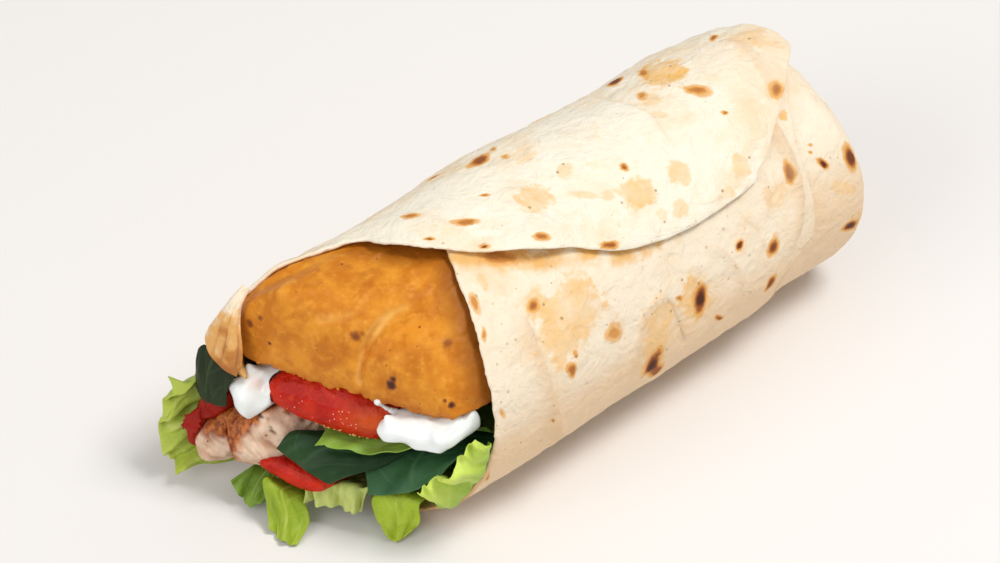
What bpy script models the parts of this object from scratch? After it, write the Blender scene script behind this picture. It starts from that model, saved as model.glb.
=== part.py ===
"""A filled tortilla wrap that lies on its side with its open mouth toward -X.

The tortilla is one rolled sheet with a folded, closed end. Fillings run through it and show at
the mouth: a crisp golden fillet, tomato slices, white sauce, chicken strips and salad leaves.
Sizes are in millimetres times MM. The roll is modelled with its axis along +X, its far side
toward +Y and the floor at z = 0, then the whole is centred over its footprint.
"""
import math

import bmesh
import bpy
import numpy as np
from mathutils import Vector, noise

MM = 0.001

# Driving sizes of the roll
ROLL_RADIUS = 31.8
AXIS_HEIGHT = 30.8          # lower than the radius, so that the roll rests on a flat band
SHEET = 1.8                 # thickness of the tortilla
LAYER_GAP = 0.5             # air between the flap and the layer under it
END_X = 148.0               # outside of the closed end
FIRST_TURN = 70.0           # degrees from +Y toward +Z, at the sheet's hidden inner edge
LAST_TURN = 500.0           # the tip of the flap
TAPER = 1.9                 # how much slimmer the far side is past the middle
TOP_TAPER = 1.3             # how much lower the top is at the closed end
TUCK_TURN = 361.0           # where on the sheet the mouth's far corner folds in
TUCK_DEPTH = 12.0           # how far it goes, in under the fillet
TUCK_RISE = 11.0            # and how many degrees it turns up against it
TUCK_LENGTH = 13.0          # over this length of the sheet
END_SLANT = 3.0             # how much further the closed end reaches at its near, lower side
LUMP_SPACING = 26.0         # of the broad lumps that the filling makes in the bread
LUMP_HEIGHT = 1.1
FLARE, FLARE_X = 2.4, 14.0  # how far the near rim of the mouth stands open, and where
LIFT, LIFT_X = 2.6, 53.0    # how far the edge of the flap lifts, and where
CLEARANCE = 0.35            # between neighbours
TOO_SMALL = 0.4             # a cut that leaves less than this share of a piece is made again
MERGE = 0.004               # points closer than this become one

# The end cup: the folded-in layer that closes the roll
CUP_RADIUS = 30.4
CUP_START = 108.0
CUP_CORNER = 7.5

# Filling lanes inside the roll
INNER_RADIUS = ROLL_RADIUS - SHEET - 0.6
FILLING_END = 132.0
FILLET_UNDERSIDE = 36.6
FILLET_START = 10.9         # where the lower edge of the fillet's nose crosses the roll's axis
CREASE = 3.6                # depth of the crease in the nose
LEAF = 0.9                  # thickness of a salad leaf

# (turn in degrees, x) of the sheet's edge round the mouth and along the front of the flap
MOUTH_EDGE = [
    (70, 46), (92, 40.7), (103, 37.9), (121, 34.6), (141, 31.2), (161, 29.4), (181, 28.0),
    (210, 24), (240, 20.5), (270, 16.5), (300, 11), (330, 5), (352, 0), (366, -2), (376, -2.5),
    (388, 2), (400, 12.5), (410, 23.2), (417, 28.6), (432, 32), (447, 35.9), (454, 39.3), (463.5, 44.8),
    (472, 51), (477, 56.2), (481.5, 63), (488, 69.4), (493, 75), (496.4, 81.4), (499, 90),
    (500, 97),
]
# (turn in degrees, x) of the sheet's edge at the closed end and along the back of the flap
END_EDGE = [
    (70, 145), (92, 147), (103, 142.7), (114, 137.3), (125, 133.2), (137, 130.5), (150, 129.2),
    (164, 128.8), (176, 127.7), (183, 124), (192, 120.9), (215, 118), (250, 117), (290, 118),
    (320, 124), (350, 132), (380, 139), (400, 143), (430, 146), (450, 147), (456, 146.7),
    (466, 140), (475.4, 133.8), (485, 125.9), (495, 116.8), (499.3, 108.7), (500, 103),
]


def through(stations, key):
    """The smooth value at key of a curve through (key, value, ...) stations."""
    keys = np.array([row[0] for row in stations], float)
    values = np.array([row[1:] for row in stations], float)
    key = min(max(key, keys[0]), keys[-1])
    slopes = np.gradient(values, keys, axis=0)
    i = min(int(np.searchsorted(keys, key, side="right")) - 1, len(keys) - 2)
    span = keys[i + 1] - keys[i]
    t = (key - keys[i]) / span
    value = ((2 * t**3 - 3 * t**2 + 1) * values[i] + (t**3 - 2 * t**2 + t) * span * slopes[i]
             + (3 * t**2 - 2 * t**3) * values[i + 1] + (t**3 - t**2) * span * slopes[i + 1])
    return float(value[0]) if len(value) == 1 else value


def ramp(low, high, value):
    """A smooth step from 0 at low to 1 at high."""
    t = min(max((value - low) / (high - low), 0.0), 1.0)
    return t * t * (3 - 2 * t)


def bump(centre, width, value):
    """A bell of height 1 at centre."""
    return math.exp(-((value - centre) / width) ** 2)


def unevenness(x, angle):
    """How far every layer stands out or in at a place, from the filling under it."""
    radians = math.radians(angle)
    crown = TOP_TAPER * ramp(125, 148, x) * max(0.0, math.cos(radians - math.radians(72))) ** 2
    lumps = noise.noise(Vector((x / LUMP_SPACING, 1.3 * math.cos(radians), 1.3 * math.sin(radians) + 7)))
    upper = 1 - max(0.0, -math.sin(radians)) ** 0.5
    slimmer = TAPER * ramp(78, 100, x) * max(0.0, math.cos(radians - math.radians(40))) ** 2
    return LUMP_HEIGHT * lumps * upper - slimmer - crown


def on_roll(x, angle, radius):
    """A point at an angle (degrees from +Y toward +Z) and a distance from the roll's axis."""
    radians = math.radians(angle)
    reach = radius + unevenness(x, angle)
    low_near_side = max(0.0, math.cos(radians - math.radians(215))) * radius / CUP_RADIUS
    slant = END_SLANT * ramp(118, 150, x) * low_near_side
    return Vector((x + slant, reach * math.cos(radians), AXIS_HEIGHT + reach * math.sin(radians)))


def sheet_relief(turn, x):
    """Where the sheet itself leaves the round: its flare and its lifted flap."""
    flare = FLARE * bump(FLARE_X, 10, x) * bump(398, 24, turn)
    lift = LIFT * bump(LIFT_X, 10, x) * ramp(458, 474, turn)
    return flare + lift


def tuck(turn, x):
    """How far the far corner of the mouth is folded in under the fillet, from 0 to 1."""
    width = 10 if turn > TUCK_TURN else 4.5
    depth = max(0.0, 1 - (x - through(MOUTH_EDGE, turn)) / TUCK_LENGTH) ** 2
    return depth * bump(TUCK_TURN, width, turn)


def winding(turn):
    """How much further out the sheet lies as it climbs over its own first layer."""
    return ramp(300, 402, turn) * (SHEET + LAYER_GAP)


def sheet_middle(turn, x):
    """A point halfway through the sheet."""
    fold = tuck(turn, x)
    radius = ROLL_RADIUS - SHEET / 2 + winding(turn) + sheet_relief(turn, x)
    return on_roll(x, turn + TUCK_RISE * fold, radius - TUCK_DEPTH * fold)


def sheet_point(turn, x, side, grow):
    """A point on the sheet's outer (side 1) or inner (side -1) face."""
    facing_layer = (side < 0 and turn > 425) or (side > 0 and turn < 145)
    grow = 0.0 if facing_layer else grow
    round_it = sheet_middle(turn + 0.5, x) - sheet_middle(turn - 0.5, x)
    along_it = sheet_middle(turn, x + 0.25) - sheet_middle(turn, x - 0.25)
    outward = round_it.cross(along_it).normalized()
    point = sheet_middle(turn, x) + outward * side * (SHEET / 2 + grow)
    lowest = (SHEET + grow) if side < 0 else -grow
    point.z = max(point.z, lowest)
    return point


def face_outward(build):
    """Turn every face of a closed mesh to point out."""
    bmesh.ops.recalc_face_normals(build, faces=build.faces)
    if build.calc_volume(signed=True) < 0:
        bmesh.ops.reverse_faces(build, faces=build.faces)


def new_object(name, mesh_build):
    """An object in millimetres from a bmesh, with its faces pointing out."""
    face_outward(mesh_build)
    mesh = bpy.data.meshes.new(name)
    mesh_build.to_mesh(mesh)
    mesh_build.free()
    made = bpy.data.objects.new(name, mesh)
    bpy.context.scene.collection.objects.link(made)
    return made


def two_faced(name, columns, rows, point):
    """A closed sheet from point(i, j, side), both faces split into triangles alike."""
    build = bmesh.new()
    faces = {side: [[build.verts.new(point(i, j, side)) for j in range(rows)]
                    for i in range(columns)] for side in (-1, 1)}
    for side, grid in faces.items():
        for i in range(columns - 1):
            for j in range(rows - 1):
                a, b, c, d = grid[i][j], grid[i + 1][j], grid[i + 1][j + 1], grid[i][j + 1]
                if (i + j) % 2:
                    triangles = ((a, b, d), (b, c, d))
                else:
                    triangles = ((a, b, c), (a, c, d))
                for triangle in triangles:
                    build.faces.new(triangle)
    edge = ([(i, 0) for i in range(columns)] + [(columns - 1, j) for j in range(1, rows)]
            + [(i, rows - 1) for i in range(columns - 2, -1, -1)]
            + [(0, j) for j in range(rows - 2, 0, -1)])
    for (i, j), (k, l) in zip(edge, edge[1:] + edge[:1]):
        build.faces.new((faces[-1][i][j], faces[-1][k][l], faces[1][k][l]))
        build.faces.new((faces[-1][i][j], faces[1][k][l], faces[1][i][j]))
    return new_object(name, build)


def lofted(name, rings):
    """A closed solid through rings of points, with a fan of triangles at each end."""
    build = bmesh.new()
    loops = [[build.verts.new(p) for p in ring] for ring in rings]
    for first, second in zip(loops, loops[1:]):
        for k in range(len(first)):
            n = (k + 1) % len(first)
            build.faces.new((first[k], first[n], second[n], second[k]))
    for loop in (loops[0], loops[-1]):
        middle = sum((v.co for v in loop), Vector()) / len(loop)
        tip = build.verts.new(middle)
        for k in range(len(loop)):
            build.faces.new((loop[k], loop[(k + 1) % len(loop)], tip))
    return new_object(name, build)


def largest_piece(obj):
    """Drop every loose scrap but the largest piece, and merge what a cut left too close."""
    build = bmesh.new()
    build.from_mesh(obj.data)
    bmesh.ops.remove_doubles(build, verts=build.verts, dist=MERGE)
    bmesh.ops.dissolve_degenerate(build, edges=build.edges, dist=MERGE)
    bmesh.ops.triangulate(build, faces=build.faces)
    unseen = set(build.faces)
    pieces = []
    while unseen:
        stack = [unseen.pop()]
        piece = []
        while stack:
            face = stack.pop()
            piece.append(face)
            for edge in face.edges:
                for other in edge.link_faces:
                    if other in unseen:
                        unseen.remove(other)
                        stack.append(other)
        pieces.append(piece)
    pieces.sort(key=lambda faces: sum(f.calc_area() for f in faces))
    scraps = [f for piece in pieces[:-1] for f in piece]
    bmesh.ops.delete(build, geom=scraps, context="FACES")
    loose = [v for v in build.verts if not v.link_faces]
    bmesh.ops.delete(build, geom=loose, context="VERTS")
    face_outward(build)
    build.to_mesh(obj.data)
    build.free()


def measured(mesh):
    """A mesh's volume, and whether it is closed."""
    build = bmesh.new()
    build.from_mesh(mesh)
    volume = build.calc_volume(signed=True)
    closed = all(len(edge.link_faces) == 2 for edge in build.edges)
    build.free()
    return volume, closed


def combined_mesh(obj, other, operation, solver):
    """The mesh that a Boolean of two solids gives."""
    modifier = obj.modifiers.new("combine", "BOOLEAN")
    modifier.operation = operation
    modifier.object = other
    modifier.solver = solver
    bpy.context.view_layer.update()
    graph = bpy.context.evaluated_depsgraph_get()
    result = bpy.data.meshes.new_from_object(obj.evaluated_get(graph))
    obj.modifiers.remove(modifier)
    return result


def combine(obj, other, operation):
    """Join other to obj, or cut it away, and remove other."""
    before = measured(obj.data)[0]
    result = combined_mesh(obj, other, operation, "EXACT")
    volume, closed = measured(result)
    if not closed or volume < TOO_SMALL * before:
        result = combined_mesh(obj, other, operation, "MANIFOLD")
    obj.data = result
    bpy.data.objects.remove(other)


def swollen(obj, amount):
    """A copy of a solid with its faces pushed out."""
    build = bmesh.new()
    build.from_mesh(obj.data)
    build.normal_update()
    for vert in build.verts:
        vert.co += vert.normal * amount * min(vert.calc_shell_factor(), 2.0)
    return new_object(obj.name + ".room", build)


# ---------------------------------------------------------------- the tortilla

def rolled_sheet(grow=0.0):
    """The spiral sheet, from its hidden inner edge to the tip of the flap."""
    turns = [*np.arange(FIRST_TURN, 340, 10), *np.arange(342, 386, 3.8), *np.arange(389, 452, 9.0),
             *np.linspace(454, LAST_TURN, 11)]
    rows = [0, 0.02, 0.05, 0.09, 0.15, 0.23, 0.34, 0.46, 0.58, 0.69, 0.8, 0.9, 1]

    def point(i, j, side):
        turn = turns[i]
        start, stop = through(MOUTH_EDGE, turn) - grow, through(END_EDGE, turn)
        return sheet_point(turn, start + (stop - start) * rows[j], side, grow)

    return two_faced("tortilla", len(turns), len(rows), point)


def cup_profile(inset):
    """(x, radius) from the cup's open edge round its corner to the middle of the end."""
    radius, corner = CUP_RADIUS - inset, CUP_CORNER - inset
    bend = END_X - inset - corner
    rows = [(CUP_START, radius), (122, radius), (132, radius)]
    for step in range(5):
        angle = math.radians(90 - step * 22.5)
        rows.append((bend + corner * math.cos(angle), radius - corner * (1 - math.sin(angle))))
    return rows + [(END_X - inset, 15.0), (END_X - inset, 7.5)]


def end_folds(angle, radius):
    """How far the closed end dips: a dimple in the middle and pleats that turn round it."""
    dimple = 3.0 * bump(0, 9, radius)
    swirl = (angle / 72 + radius / 22) % 1.0
    pleat = 1.2 * (1 - swirl) ** 2 * ramp(4, 12, radius) * (1 - ramp(24, 29, radius))
    return dimple + pleat


def end_cup(grow=0.0):
    """The folded-in layer that closes the roll, a cup that opens toward the mouth."""
    columns = 36
    outer, inner = cup_profile(-grow), cup_profile(SHEET + grow)[::-1]
    build = bmesh.new()

    def ring(x, radius):
        loop = []
        for k in range(columns):
            angle = 360 * k / columns
            dip = end_folds(angle, radius) if x > 140 else 0.0
            loop.append(build.verts.new(on_roll(x - dip, angle, radius)))
        return loop

    def bridge(first, second):
        for k in range(columns):
            n = (k + 1) % columns
            build.faces.new((first[k], first[n], second[n], second[k]))

    def skin(profile):
        loops = [ring(x, radius) for x, radius in profile]
        for first, second in zip(loops, loops[1:]):
            bridge(first, second)
        return loops

    def close(loop, x):
        tip = build.verts.new(on_roll(x - 3.0, 0, 0))
        for k in range(columns):
            build.faces.new((loop[k], loop[(k + 1) % columns], tip))

    outside, inside = skin(outer), skin(inner)
    bridge(inside[-1], outside[0])
    close(outside[-1], END_X + grow)
    close(inside[0], END_X - SHEET - grow)
    return new_object("cup", build)


def tortilla(grow=0.0):
    """The whole bread: the rolled sheet joined to the cup that closes its end."""
    bread = rolled_sheet(grow)
    combine(bread, end_cup(grow), "UNION")
    largest_piece(bread)
    return bread


# ---------------------------------------------------------------- the fillings

def mouth_slope(dy, dz):
    """How far the slanted face of the mouth runs along the roll over a step across it."""
    return -0.45 * dy + 0.3 * dz


def pressed_out(point):
    """Move a filling's point out to follow the wall round it, the more the nearer it lies."""
    dy, dz = point.y, point.z - AXIS_HEIGHT
    radius, angle = math.hypot(dy, dz), math.degrees(math.atan2(dz, dy)) % 360
    outer_layer = 1 - ramp(58, 74, angle) if angle < 180 else ramp(300, 330, angle)
    turn = angle + 360 if angle < 180 else angle
    flare = max(sheet_relief(turn, point.x), 0.0) if angle < 75 else 0.0
    wall = unevenness(point.x, angle) + outer_layer * (winding(turn) + flare)
    cup = (SHEET + ROLL_RADIUS - CUP_RADIUS) * ramp(CUP_START - 12, CUP_START - 2, point.x)
    share = min(radius / INNER_RADIUS, 1.0) ** 3
    scale = 1 + share * (wall - cup) / max(radius, 1e-6)
    return Vector((point.x, dy * scale, AXIS_HEIGHT + dz * scale))


def fillet():
    """The crisp golden fillet: a slab that fills the upper half, with a blunt rounded nose."""
    steps, around = 11, 32
    middle_y, middle_z = 0.0, 45.5

    def section(phi):
        """The full outline: the roll's round above and a flat underside with soft corners."""
        dy, dz = math.cos(phi), math.sin(phi)
        up = middle_z - AXIS_HEIGHT
        along = up * dz
        to_round = -along + math.sqrt(along**2 - up**2 + INNER_RADIUS**2)
        to_flat = (middle_z - FILLET_UNDERSIDE) / max(-dz, 1e-3)
        reach = (to_round**-7 + to_flat**-7) ** (-1 / 7)
        return dy * reach, middle_z + dz * reach

    def nose_length(phi):
        """The dome is short at the far side and long where the flap is cut back."""
        return 4.5 + 26 * max(0.0, math.cos(phi - math.radians(125))) ** 1.2

    def ring(e, length):
        points = []
        for k in range(around):
            phi = 2 * math.pi * k / around
            full_y, full_z = section(phi)
            swell = (1 - (1 - e) ** 2.3) ** (1 / 2.3)
            y = full_y * (0.86 + 0.14 * swell)
            z = FILLET_UNDERSIDE + (full_z - FILLET_UNDERSIDE) * (0.25 + 0.75 * swell)
            x = FILLET_START + mouth_slope(y, 0) + nose_length(phi) * e + length
            crease_y = -5 - 0.36 * max(0.0, x - 14)
            crease = CREASE * bump(crease_y, 3.0, y) * (1 - ramp(24, 42, x)) * ramp(37, 41, z)
            lumps = 0.7 * noise.noise(Vector((x, y, z)) / 9)
            inward = Vector((0, middle_y - y, middle_z - z)).normalized()
            points.append(pressed_out(Vector((x, y, z)) + inward * (crease + abs(lumps))))
        return points

    rings = [ring((k / steps) ** 1.5, 0) for k in range(steps + 1)]
    tail = [14, 32, 52, 72, FILLING_END - 55]
    for length in tail:
        rings.append(ring(1.0, length))
    for shrink in (0.9, 0.6):
        rings.append([squeezed(p, shrink, 48.0, 6.0 * (1.3 - shrink)) for p in rings[-1]])
    return lofted("golden_fillet", rings)


def squeezed(point, factor, height, ahead):
    """A point pulled toward the middle of a section and moved on along the roll."""
    return Vector((point.x + ahead, point.y * factor, height + (point.z - height) * factor))


def strip(name, stations, power=2.6, around=14, lumps=0.6, grain=6.0, seed=0):
    """A filling that runs into the roll, from (x, y, z, half width, half height, roll degrees).

    Near the front its sections lean along the mouth's slanted face.
    """
    first, last = stations[0][0], stations[-1][0]
    depths = []
    x = first
    step = 1.3
    while x < last:
        depths.append(x)
        x += step
        step = min(step * 1.45, 18)
    depths.append(last)
    rings = []
    for x in depths:
        y, z, wide, high, roll = through(stations, x)
        roll = math.radians(roll)
        nose = min(1.0, (x - first) / min(7.0, 1.1 * high) + 0.03)
        tail = min(1.0, (last - x) / 6.0 + 0.1)
        swell = (1 - (1 - nose) ** 2) ** 0.5 * (1 - (1 - tail) ** 2) ** 0.5
        lean = 1 - ramp(first + 8, first + 45, x)
        ring = []
        for k in range(around):
            phi = 2 * math.pi * k / around
            c, s = math.cos(phi), math.sin(phi)
            reach = (abs(c) ** power + abs(s) ** power) ** (-1 / power)
            across = c * reach * (wide - high * (1 - swell))
            up = s * reach * high * swell
            dy = across * math.cos(roll) - up * math.sin(roll)
            dz = across * math.sin(roll) + up * math.cos(roll)
            point = Vector((x + lean * mouth_slope(dy, dz), y + dy, z + dz))
            outward = Vector((0, dy, dz)).normalized()
            bulge = noise.noise(point / grain + Vector((seed, 0, 0)))
            ring.append(point + outward * bulge * lumps * swell)
        rings.append(ring)
    return lofted(name, rings)


def leaf(name, ribs, ruffle=1.2, waves=3.0, seed=0, columns=9, spacing=2.6):
    """A thin wavy leaf through ribs of three points each, from its free edge into the roll.

    Each rib is (A, M, B): a side, the middle and the other side, each (x, y, z).
    """
    lengths = [0.0]
    for first, second in zip(ribs, ribs[1:]):
        lengths.append(lengths[-1] + (Vector(second[1]) - Vector(first[1])).length)
    stations = [(s, *a, *m, *b) for s, (a, m, b) in zip(lengths, ribs)]
    depths = [0.0]
    step = spacing
    while depths[-1] + step < lengths[-1] - 2:
        depths.append(depths[-1] + step)
        step = min(step * 1.2, 12)
    depths.append(lengths[-1])
    reach = min(30.0, 0.5 * lengths[-1])

    def middle(u, s):
        row = through(stations, s)
        a, m, b = Vector(row[0:3]), Vector(row[3:6]), Vector(row[6:9])
        w = 2 * u - 1
        round_off = 1 - 0.22 * (1 - ramp(0, 0.4 * reach, s)) * w**2
        w *= round_off
        return a * (w * (w - 1) / 2) + m * (1 - w * w) + b * (w * (w + 1) / 2)

    def surface(u, s):
        du = middle(min(u + 0.02, 1), s) - middle(max(u - 0.02, 0), s)
        ds = middle(u, min(s + 0.4, lengths[-1])) - middle(u, max(s - 0.4, 0))
        normal = du.cross(ds).normalized()
        border = 1 - ramp(0, 0.6 * reach, s)
        along_edge = waves * 2 * math.pi * u + 0.22 * s + seed
        wave = math.sin(along_edge) + 0.5 * math.sin(2.3 * along_edge + 1.7 * seed)
        return middle(u, s) + normal * ruffle * border * wave, normal

    def point(i, j, side):
        place, normal = surface(i / (columns - 1), depths[j])
        place = place + normal * side * LEAF / 2
        above_floor = 0.25 if side * normal.z <= 0 else 0.25 + 0.8 * LEAF
        place.z = max(place.z, above_floor)
        return place

    return two_faced(name, columns, len(depths), point)


def lane(x, points):
    """A rib across the roll at x, through three (y, z) points."""
    return tuple((x, y, z) for y, z in points)


def lumps_of_filling():
    """Every solid filling, from the one the others give way to down to the softest."""
    return [
        fillet(),
        strip("tomato_upper", [
            (6.5, 3.4, 31.2, 14.6, 5.2, 3), (24, 2.5, 31.2, 13.5, 5.0, 1), (60, 0.5, 31.2, 12.0, 4.8, 0),
            (96, 0, 31.0, 11.5, 4.8, 0)], power=3.2, lumps=0.5, grain=8, seed=3, around=18),
        strip("chicken_right", [
            (-5, 17.6, 18.2, 6.8, 8.0, -24), (6, 15.8, 18.2, 6.6, 7.4, -16),
            (30, 12.0, 18.0, 5.2, 6.6, 0), (80, 12.0, 18.0, 5.0, 6.4, 0), (120, 12, 18, 4.8, 6.0, 0)],
            power=3.4, lumps=1.6, grain=5, seed=11, around=16),
        strip("chicken_left", [
            (-9, 26.0, 14.4, 4.8, 6.8, 12), (2, 23.4, 15.8, 4.0, 6.2, 12), (24, 20.4, 17.6, 2.9, 5.2, 10),
            (64, 20.2, 17.8, 2.8, 5.0, 10), (92, 20, 18, 2.7, 4.8, 10)],
            power=3.2, lumps=1.3, grain=4.6, seed=23),
        strip("tomato_lower", [
            (-1.5, 6.4, 13.4, 8.0, 2.5, 10), (10, 5.0, 12.2, 6.8, 2.6, 4), (40, 3.5, 10.8, 6.2, 2.6, 0),
            (76, 3, 10.4, 6.0, 2.5, 0)], power=3.0, lumps=0.4, seed=31),
        strip("tomato_left", [
            (-9.5, 30.4, 18.2, 4.0, 9.2, 6), (-2, 28.0, 18.6, 3.2, 8.0, 6), (12, 24.8, 21.8, 1.5, 4.2, 12),
            (34, 24.6, 22.4, 1.3, 3.4, 12)], power=2.4, lumps=0.6, seed=41),
        strip("sauce_left", [
            (-4.5, 18.4, 29.8, 5.2, 5.8, -14), (6, 18.6, 30.6, 4.2, 4.8, -8), (24, 18.8, 31.4, 3.4, 4.2, 0),
            (46, 18.6, 31.4, 3.0, 3.6, 0)], power=2.1, lumps=1.0, grain=4, seed=53),
        strip("sauce_right", [
            (14, -19.5, 33.2, 10.2, 3.4, -7), (24, -19.6, 33.2, 9.6, 3.3, -5),
            (44, -19.8, 33.4, 7.6, 2.9, 0), (78, -19.6, 33.6, 6.4, 2.5, 0)],
            power=2.1, lumps=1.0, grain=4, seed=67, around=20),
    ]


def leaves_of_filling():
    """The salad leaves, from those the others give way to."""
    wall = [(28.0, 25.4), (24.9, 17.6), (18.0, 9.4)]
    floor_far = [(16.5, 8.0), (10.0, 4.8), (3.0, 3.5)]
    floor_near = [(-25.6, 19.5), (-16.7, 8.5), (-3.5, 3.6)]
    middle_low = [(-24.0, 17.0), (-12.0, 15.6), (0.5, 14.6)]
    middle_high = [(-26.0, 27.6), (-10.0, 24.4), (6.5, 24.2)]
    under_slice = [(-12.0, 20.6), (-4.0, 20.8), (4.0, 20.6)]
    under_strip = [(16.0, 10.4), (13.2, 8.8), (10.0, 7.6)]
    low_middle = [(2.5, 6.2), (-3.5, 6.2), (-10.0, 7.6)]
    by_sauce = [(28.4, 27.4), (26.8, 27.4), (24.8, 27.0)]
    return [
        leaf("lettuce_upper", [
            ((21.0, -27.4, 30.9), (9.5, -11.0, 25.4), (1.5, 4.5, 25.2)),
            ((25.0, -26.5, 30.0), (13.5, -9.5, 25.4), (7.0, 6.0, 25.2)),
            lane(34, middle_high), lane(70, middle_high), lane(118, middle_high)],
            ruffle=0.5, waves=2.0, seed=1),
        leaf("spinach_mid", [
            ((5.0, -4.6, 12.6), (0.6, 4.0, 16.9), (-1.4, 11.4, 20.3)),
            ((10.0, -7.5, 15.6), (4.6, 2.6, 20.2), (2.0, 10.4, 22.6)),
            ((18, -11, 19.4), (13, -2, 21.0), (10, 5.0, 21.6)),
            lane(34, under_slice), lane(84, under_slice)],
            ruffle=0.35, waves=1.5, seed=2, columns=7),
        leaf("spinach_right", [
            ((22.5, -27.2, 28.6), (13.0, -19.0, 17.6), (7.5, -6.8, 12.2)),
            ((25.0, -26.5, 26.0), (17.5, -15.0, 16.8), (11.0, -1.9, 13.4)),
            lane(36, middle_low), lane(72, middle_low), lane(112, middle_low)],
            ruffle=0.4, waves=1.5, seed=4),
        leaf("spinach_left", [
            ((-6.0, 32.6, 27.3), (-6.6, 27.4, 25.2), (-4.4, 20.8, 27.0)),
            ((-5.0, 33.0, 33.0), (-5.2, 28.4, 31.8), (-3.9, 22.0, 31.4)),
            ((-3.6, 32.2, 38.6), (-3.5, 27.6, 36.8), (-2.8, 21.8, 34.6)),
            ((-3.0, 30.2, 31.6), (-2.8, 27.2, 30.4), (-2.0, 24.0, 29.6)),
            ((-0.4, 28.4, 27.8), (-0.4, 26.6, 27.8), (-0.4, 24.2, 27.8)),
            lane(8, [(28.2, 27.8), (26.6, 28.0), (24.4, 28.0)]), lane(22, by_sauce), lane(58, by_sauce)],
            ruffle=0.2, waves=1.0, seed=5, columns=7),
        leaf("lettuce_left", [
            ((-7.0, 33.0, 30.0), (-13.2, 37.6, 13.0), (-9.6, 30.2, 1.3)),
            ((-3.6, 33.2, 31.6), (-8.5, 34.0, 16.0), (-6.2, 27.4, 3.6)),
            ((4, 28.2, 26.5), (5, 25.0, 17.4), (9, 17.6, 9.4)),
            lane(24, wall), lane(64, wall), lane(104, wall)],
            ruffle=1.2, waves=2.0, seed=6, columns=8),
        leaf("lettuce_curl", [
            ((-7.6, 21.0, 9.4), (-6.8, 14.4, 1.8), (-4.8, 11.4, 5.4)),
            ((-1.5, 18.6, 8.4), (-2.5, 14.8, 6.8), (-1.2, 12.0, 7.8)),
            lane(14, under_strip), lane(52, under_strip)],
            ruffle=0.5, waves=1.5, seed=7, columns=7),
        leaf("lettuce_tongue_far", [
            ((-7.4, 6.2, 0.8), (-8.0, 1.2, 0.8), (-6.4, -3.6, 0.8)),
            ((-6.2, 8.8, 5.0), (-4.2, 3.6, 3.6), (-0.4, -0.8, 2.2)),
            ((-5.0, 10.4, 11.8), (-2.6, 7.0, 8.8), (1.2, 3.0, 6.0)),
            ((1.0, 11.5, 7.6), (3.4, 8.0, 6.2), (6.5, 3.0, 4.4)),
            lane(20, floor_far), lane(60, floor_far), lane(104, floor_far)],
            ruffle=0.5, waves=1.6, seed=8),
        leaf("lettuce_pale", [
            ((0.9, 5.0, 5.2), (5.2, -2.4, 6.2), (10.0, -8.6, 5.0)),
            ((2.4, 4.6, 10.0), (6.6, -1.8, 10.8), (11.0, -9.0, 11.2)),
            ((8.0, 4.5, 9.0), (11.5, -2.6, 9.4), (14.5, -9.4, 9.6)),
            lane(26, low_middle), lane(64, low_middle)],
            ruffle=1.0, waves=2.6, seed=9),
        leaf("lettuce_tongue_near", [
            ((24.5, -29.4, 35.2), (15.5, -20.5, 8.0), (10.3, -13.0, 0.9)),
            ((26.5, -28.8, 32.0), (18.0, -20.5, 10.5), (11.4, -8.6, 3.0)),
            ((29.0, -28.0, 27.0), (24.0, -18.4, 9.6), (18.0, -5.0, 4.4)),
            lane(38, floor_near), lane(74, floor_near), lane(112, floor_near)],
            ruffle=1.2, waves=2.4, seed=10),
    ]


def box_overlap(first, second):
    """Whether two objects' boxes meet."""
    def span(obj):
        points = np.array([v.co for v in obj.data.vertices])
        return points.min(axis=0), points.max(axis=0)
    low_a, high_a = span(first)
    low_b, high_b = span(second)
    return bool(np.all(low_a < high_b + 1) and np.all(low_b < high_a + 1))


FINISHES = {  # name: (colour, roughness)
    "tortilla": ((0.87, 0.76, 0.60), 0.75),
    "golden_fillet": ((0.72, 0.36, 0.08), 0.6),
    "tomato": ((0.62, 0.05, 0.02), 0.25),
    "chicken": ((0.68, 0.43, 0.33), 0.6),
    "sauce": ((0.92, 0.91, 0.88), 0.3),
    "spinach": ((0.03, 0.12, 0.05), 0.45),
    "lettuce": ((0.32, 0.52, 0.08), 0.5),
}


def finish(obj):
    """Give a piece its own plain material, in the colour of its kind."""
    kind = next(k for k in FINISHES if obj.name.startswith(k))
    colour, roughness = FINISHES[kind]
    material = bpy.data.materials.new(obj.name)
    material.use_nodes = True
    shader = material.node_tree.nodes["Principled BSDF"]
    shader.inputs["Base Color"].default_value = (*colour, 1.0)
    shader.inputs["Roughness"].default_value = roughness
    shader.inputs["Metallic"].default_value = 0.0
    obj.data.materials.clear()
    obj.data.materials.append(material)


def main():
    for old in list(bpy.data.objects):
        bpy.data.objects.remove(old)

    pieces = [tortilla()]
    bread_room = tortilla(CLEARANCE)
    bread_room.name = "bread_room"
    placed = []
    for filling in lumps_of_filling() + leaves_of_filling():
        room = bread_room.copy()
        room.data = bread_room.data.copy()
        bpy.context.scene.collection.objects.link(room)
        combine(filling, room, "DIFFERENCE")
        for neighbour in placed:
            if box_overlap(filling, neighbour):
                combine(filling, swollen(neighbour, CLEARANCE), "DIFFERENCE")
        largest_piece(filling)
        placed.append(filling)
    bpy.data.objects.remove(bread_room)
    pieces += placed

    corners = np.array([v.co for piece in pieces for v in piece.data.vertices])
    low, high = corners.min(axis=0), corners.max(axis=0)
    shift = Vector((-(low[0] + high[0]) / 2, -(low[1] + high[1]) / 2, -low[2]))
    for piece in pieces:
        for vert in piece.data.vertices:
            vert.co = (vert.co + shift) * MM
        finish(piece)
        print(piece.name, len(piece.data.polygons), "triangles")
    print("shift in mm", [round(v, 3) for v in shift], "size", [round(v, 1) for v in high - low])
    return shift


main()
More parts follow.
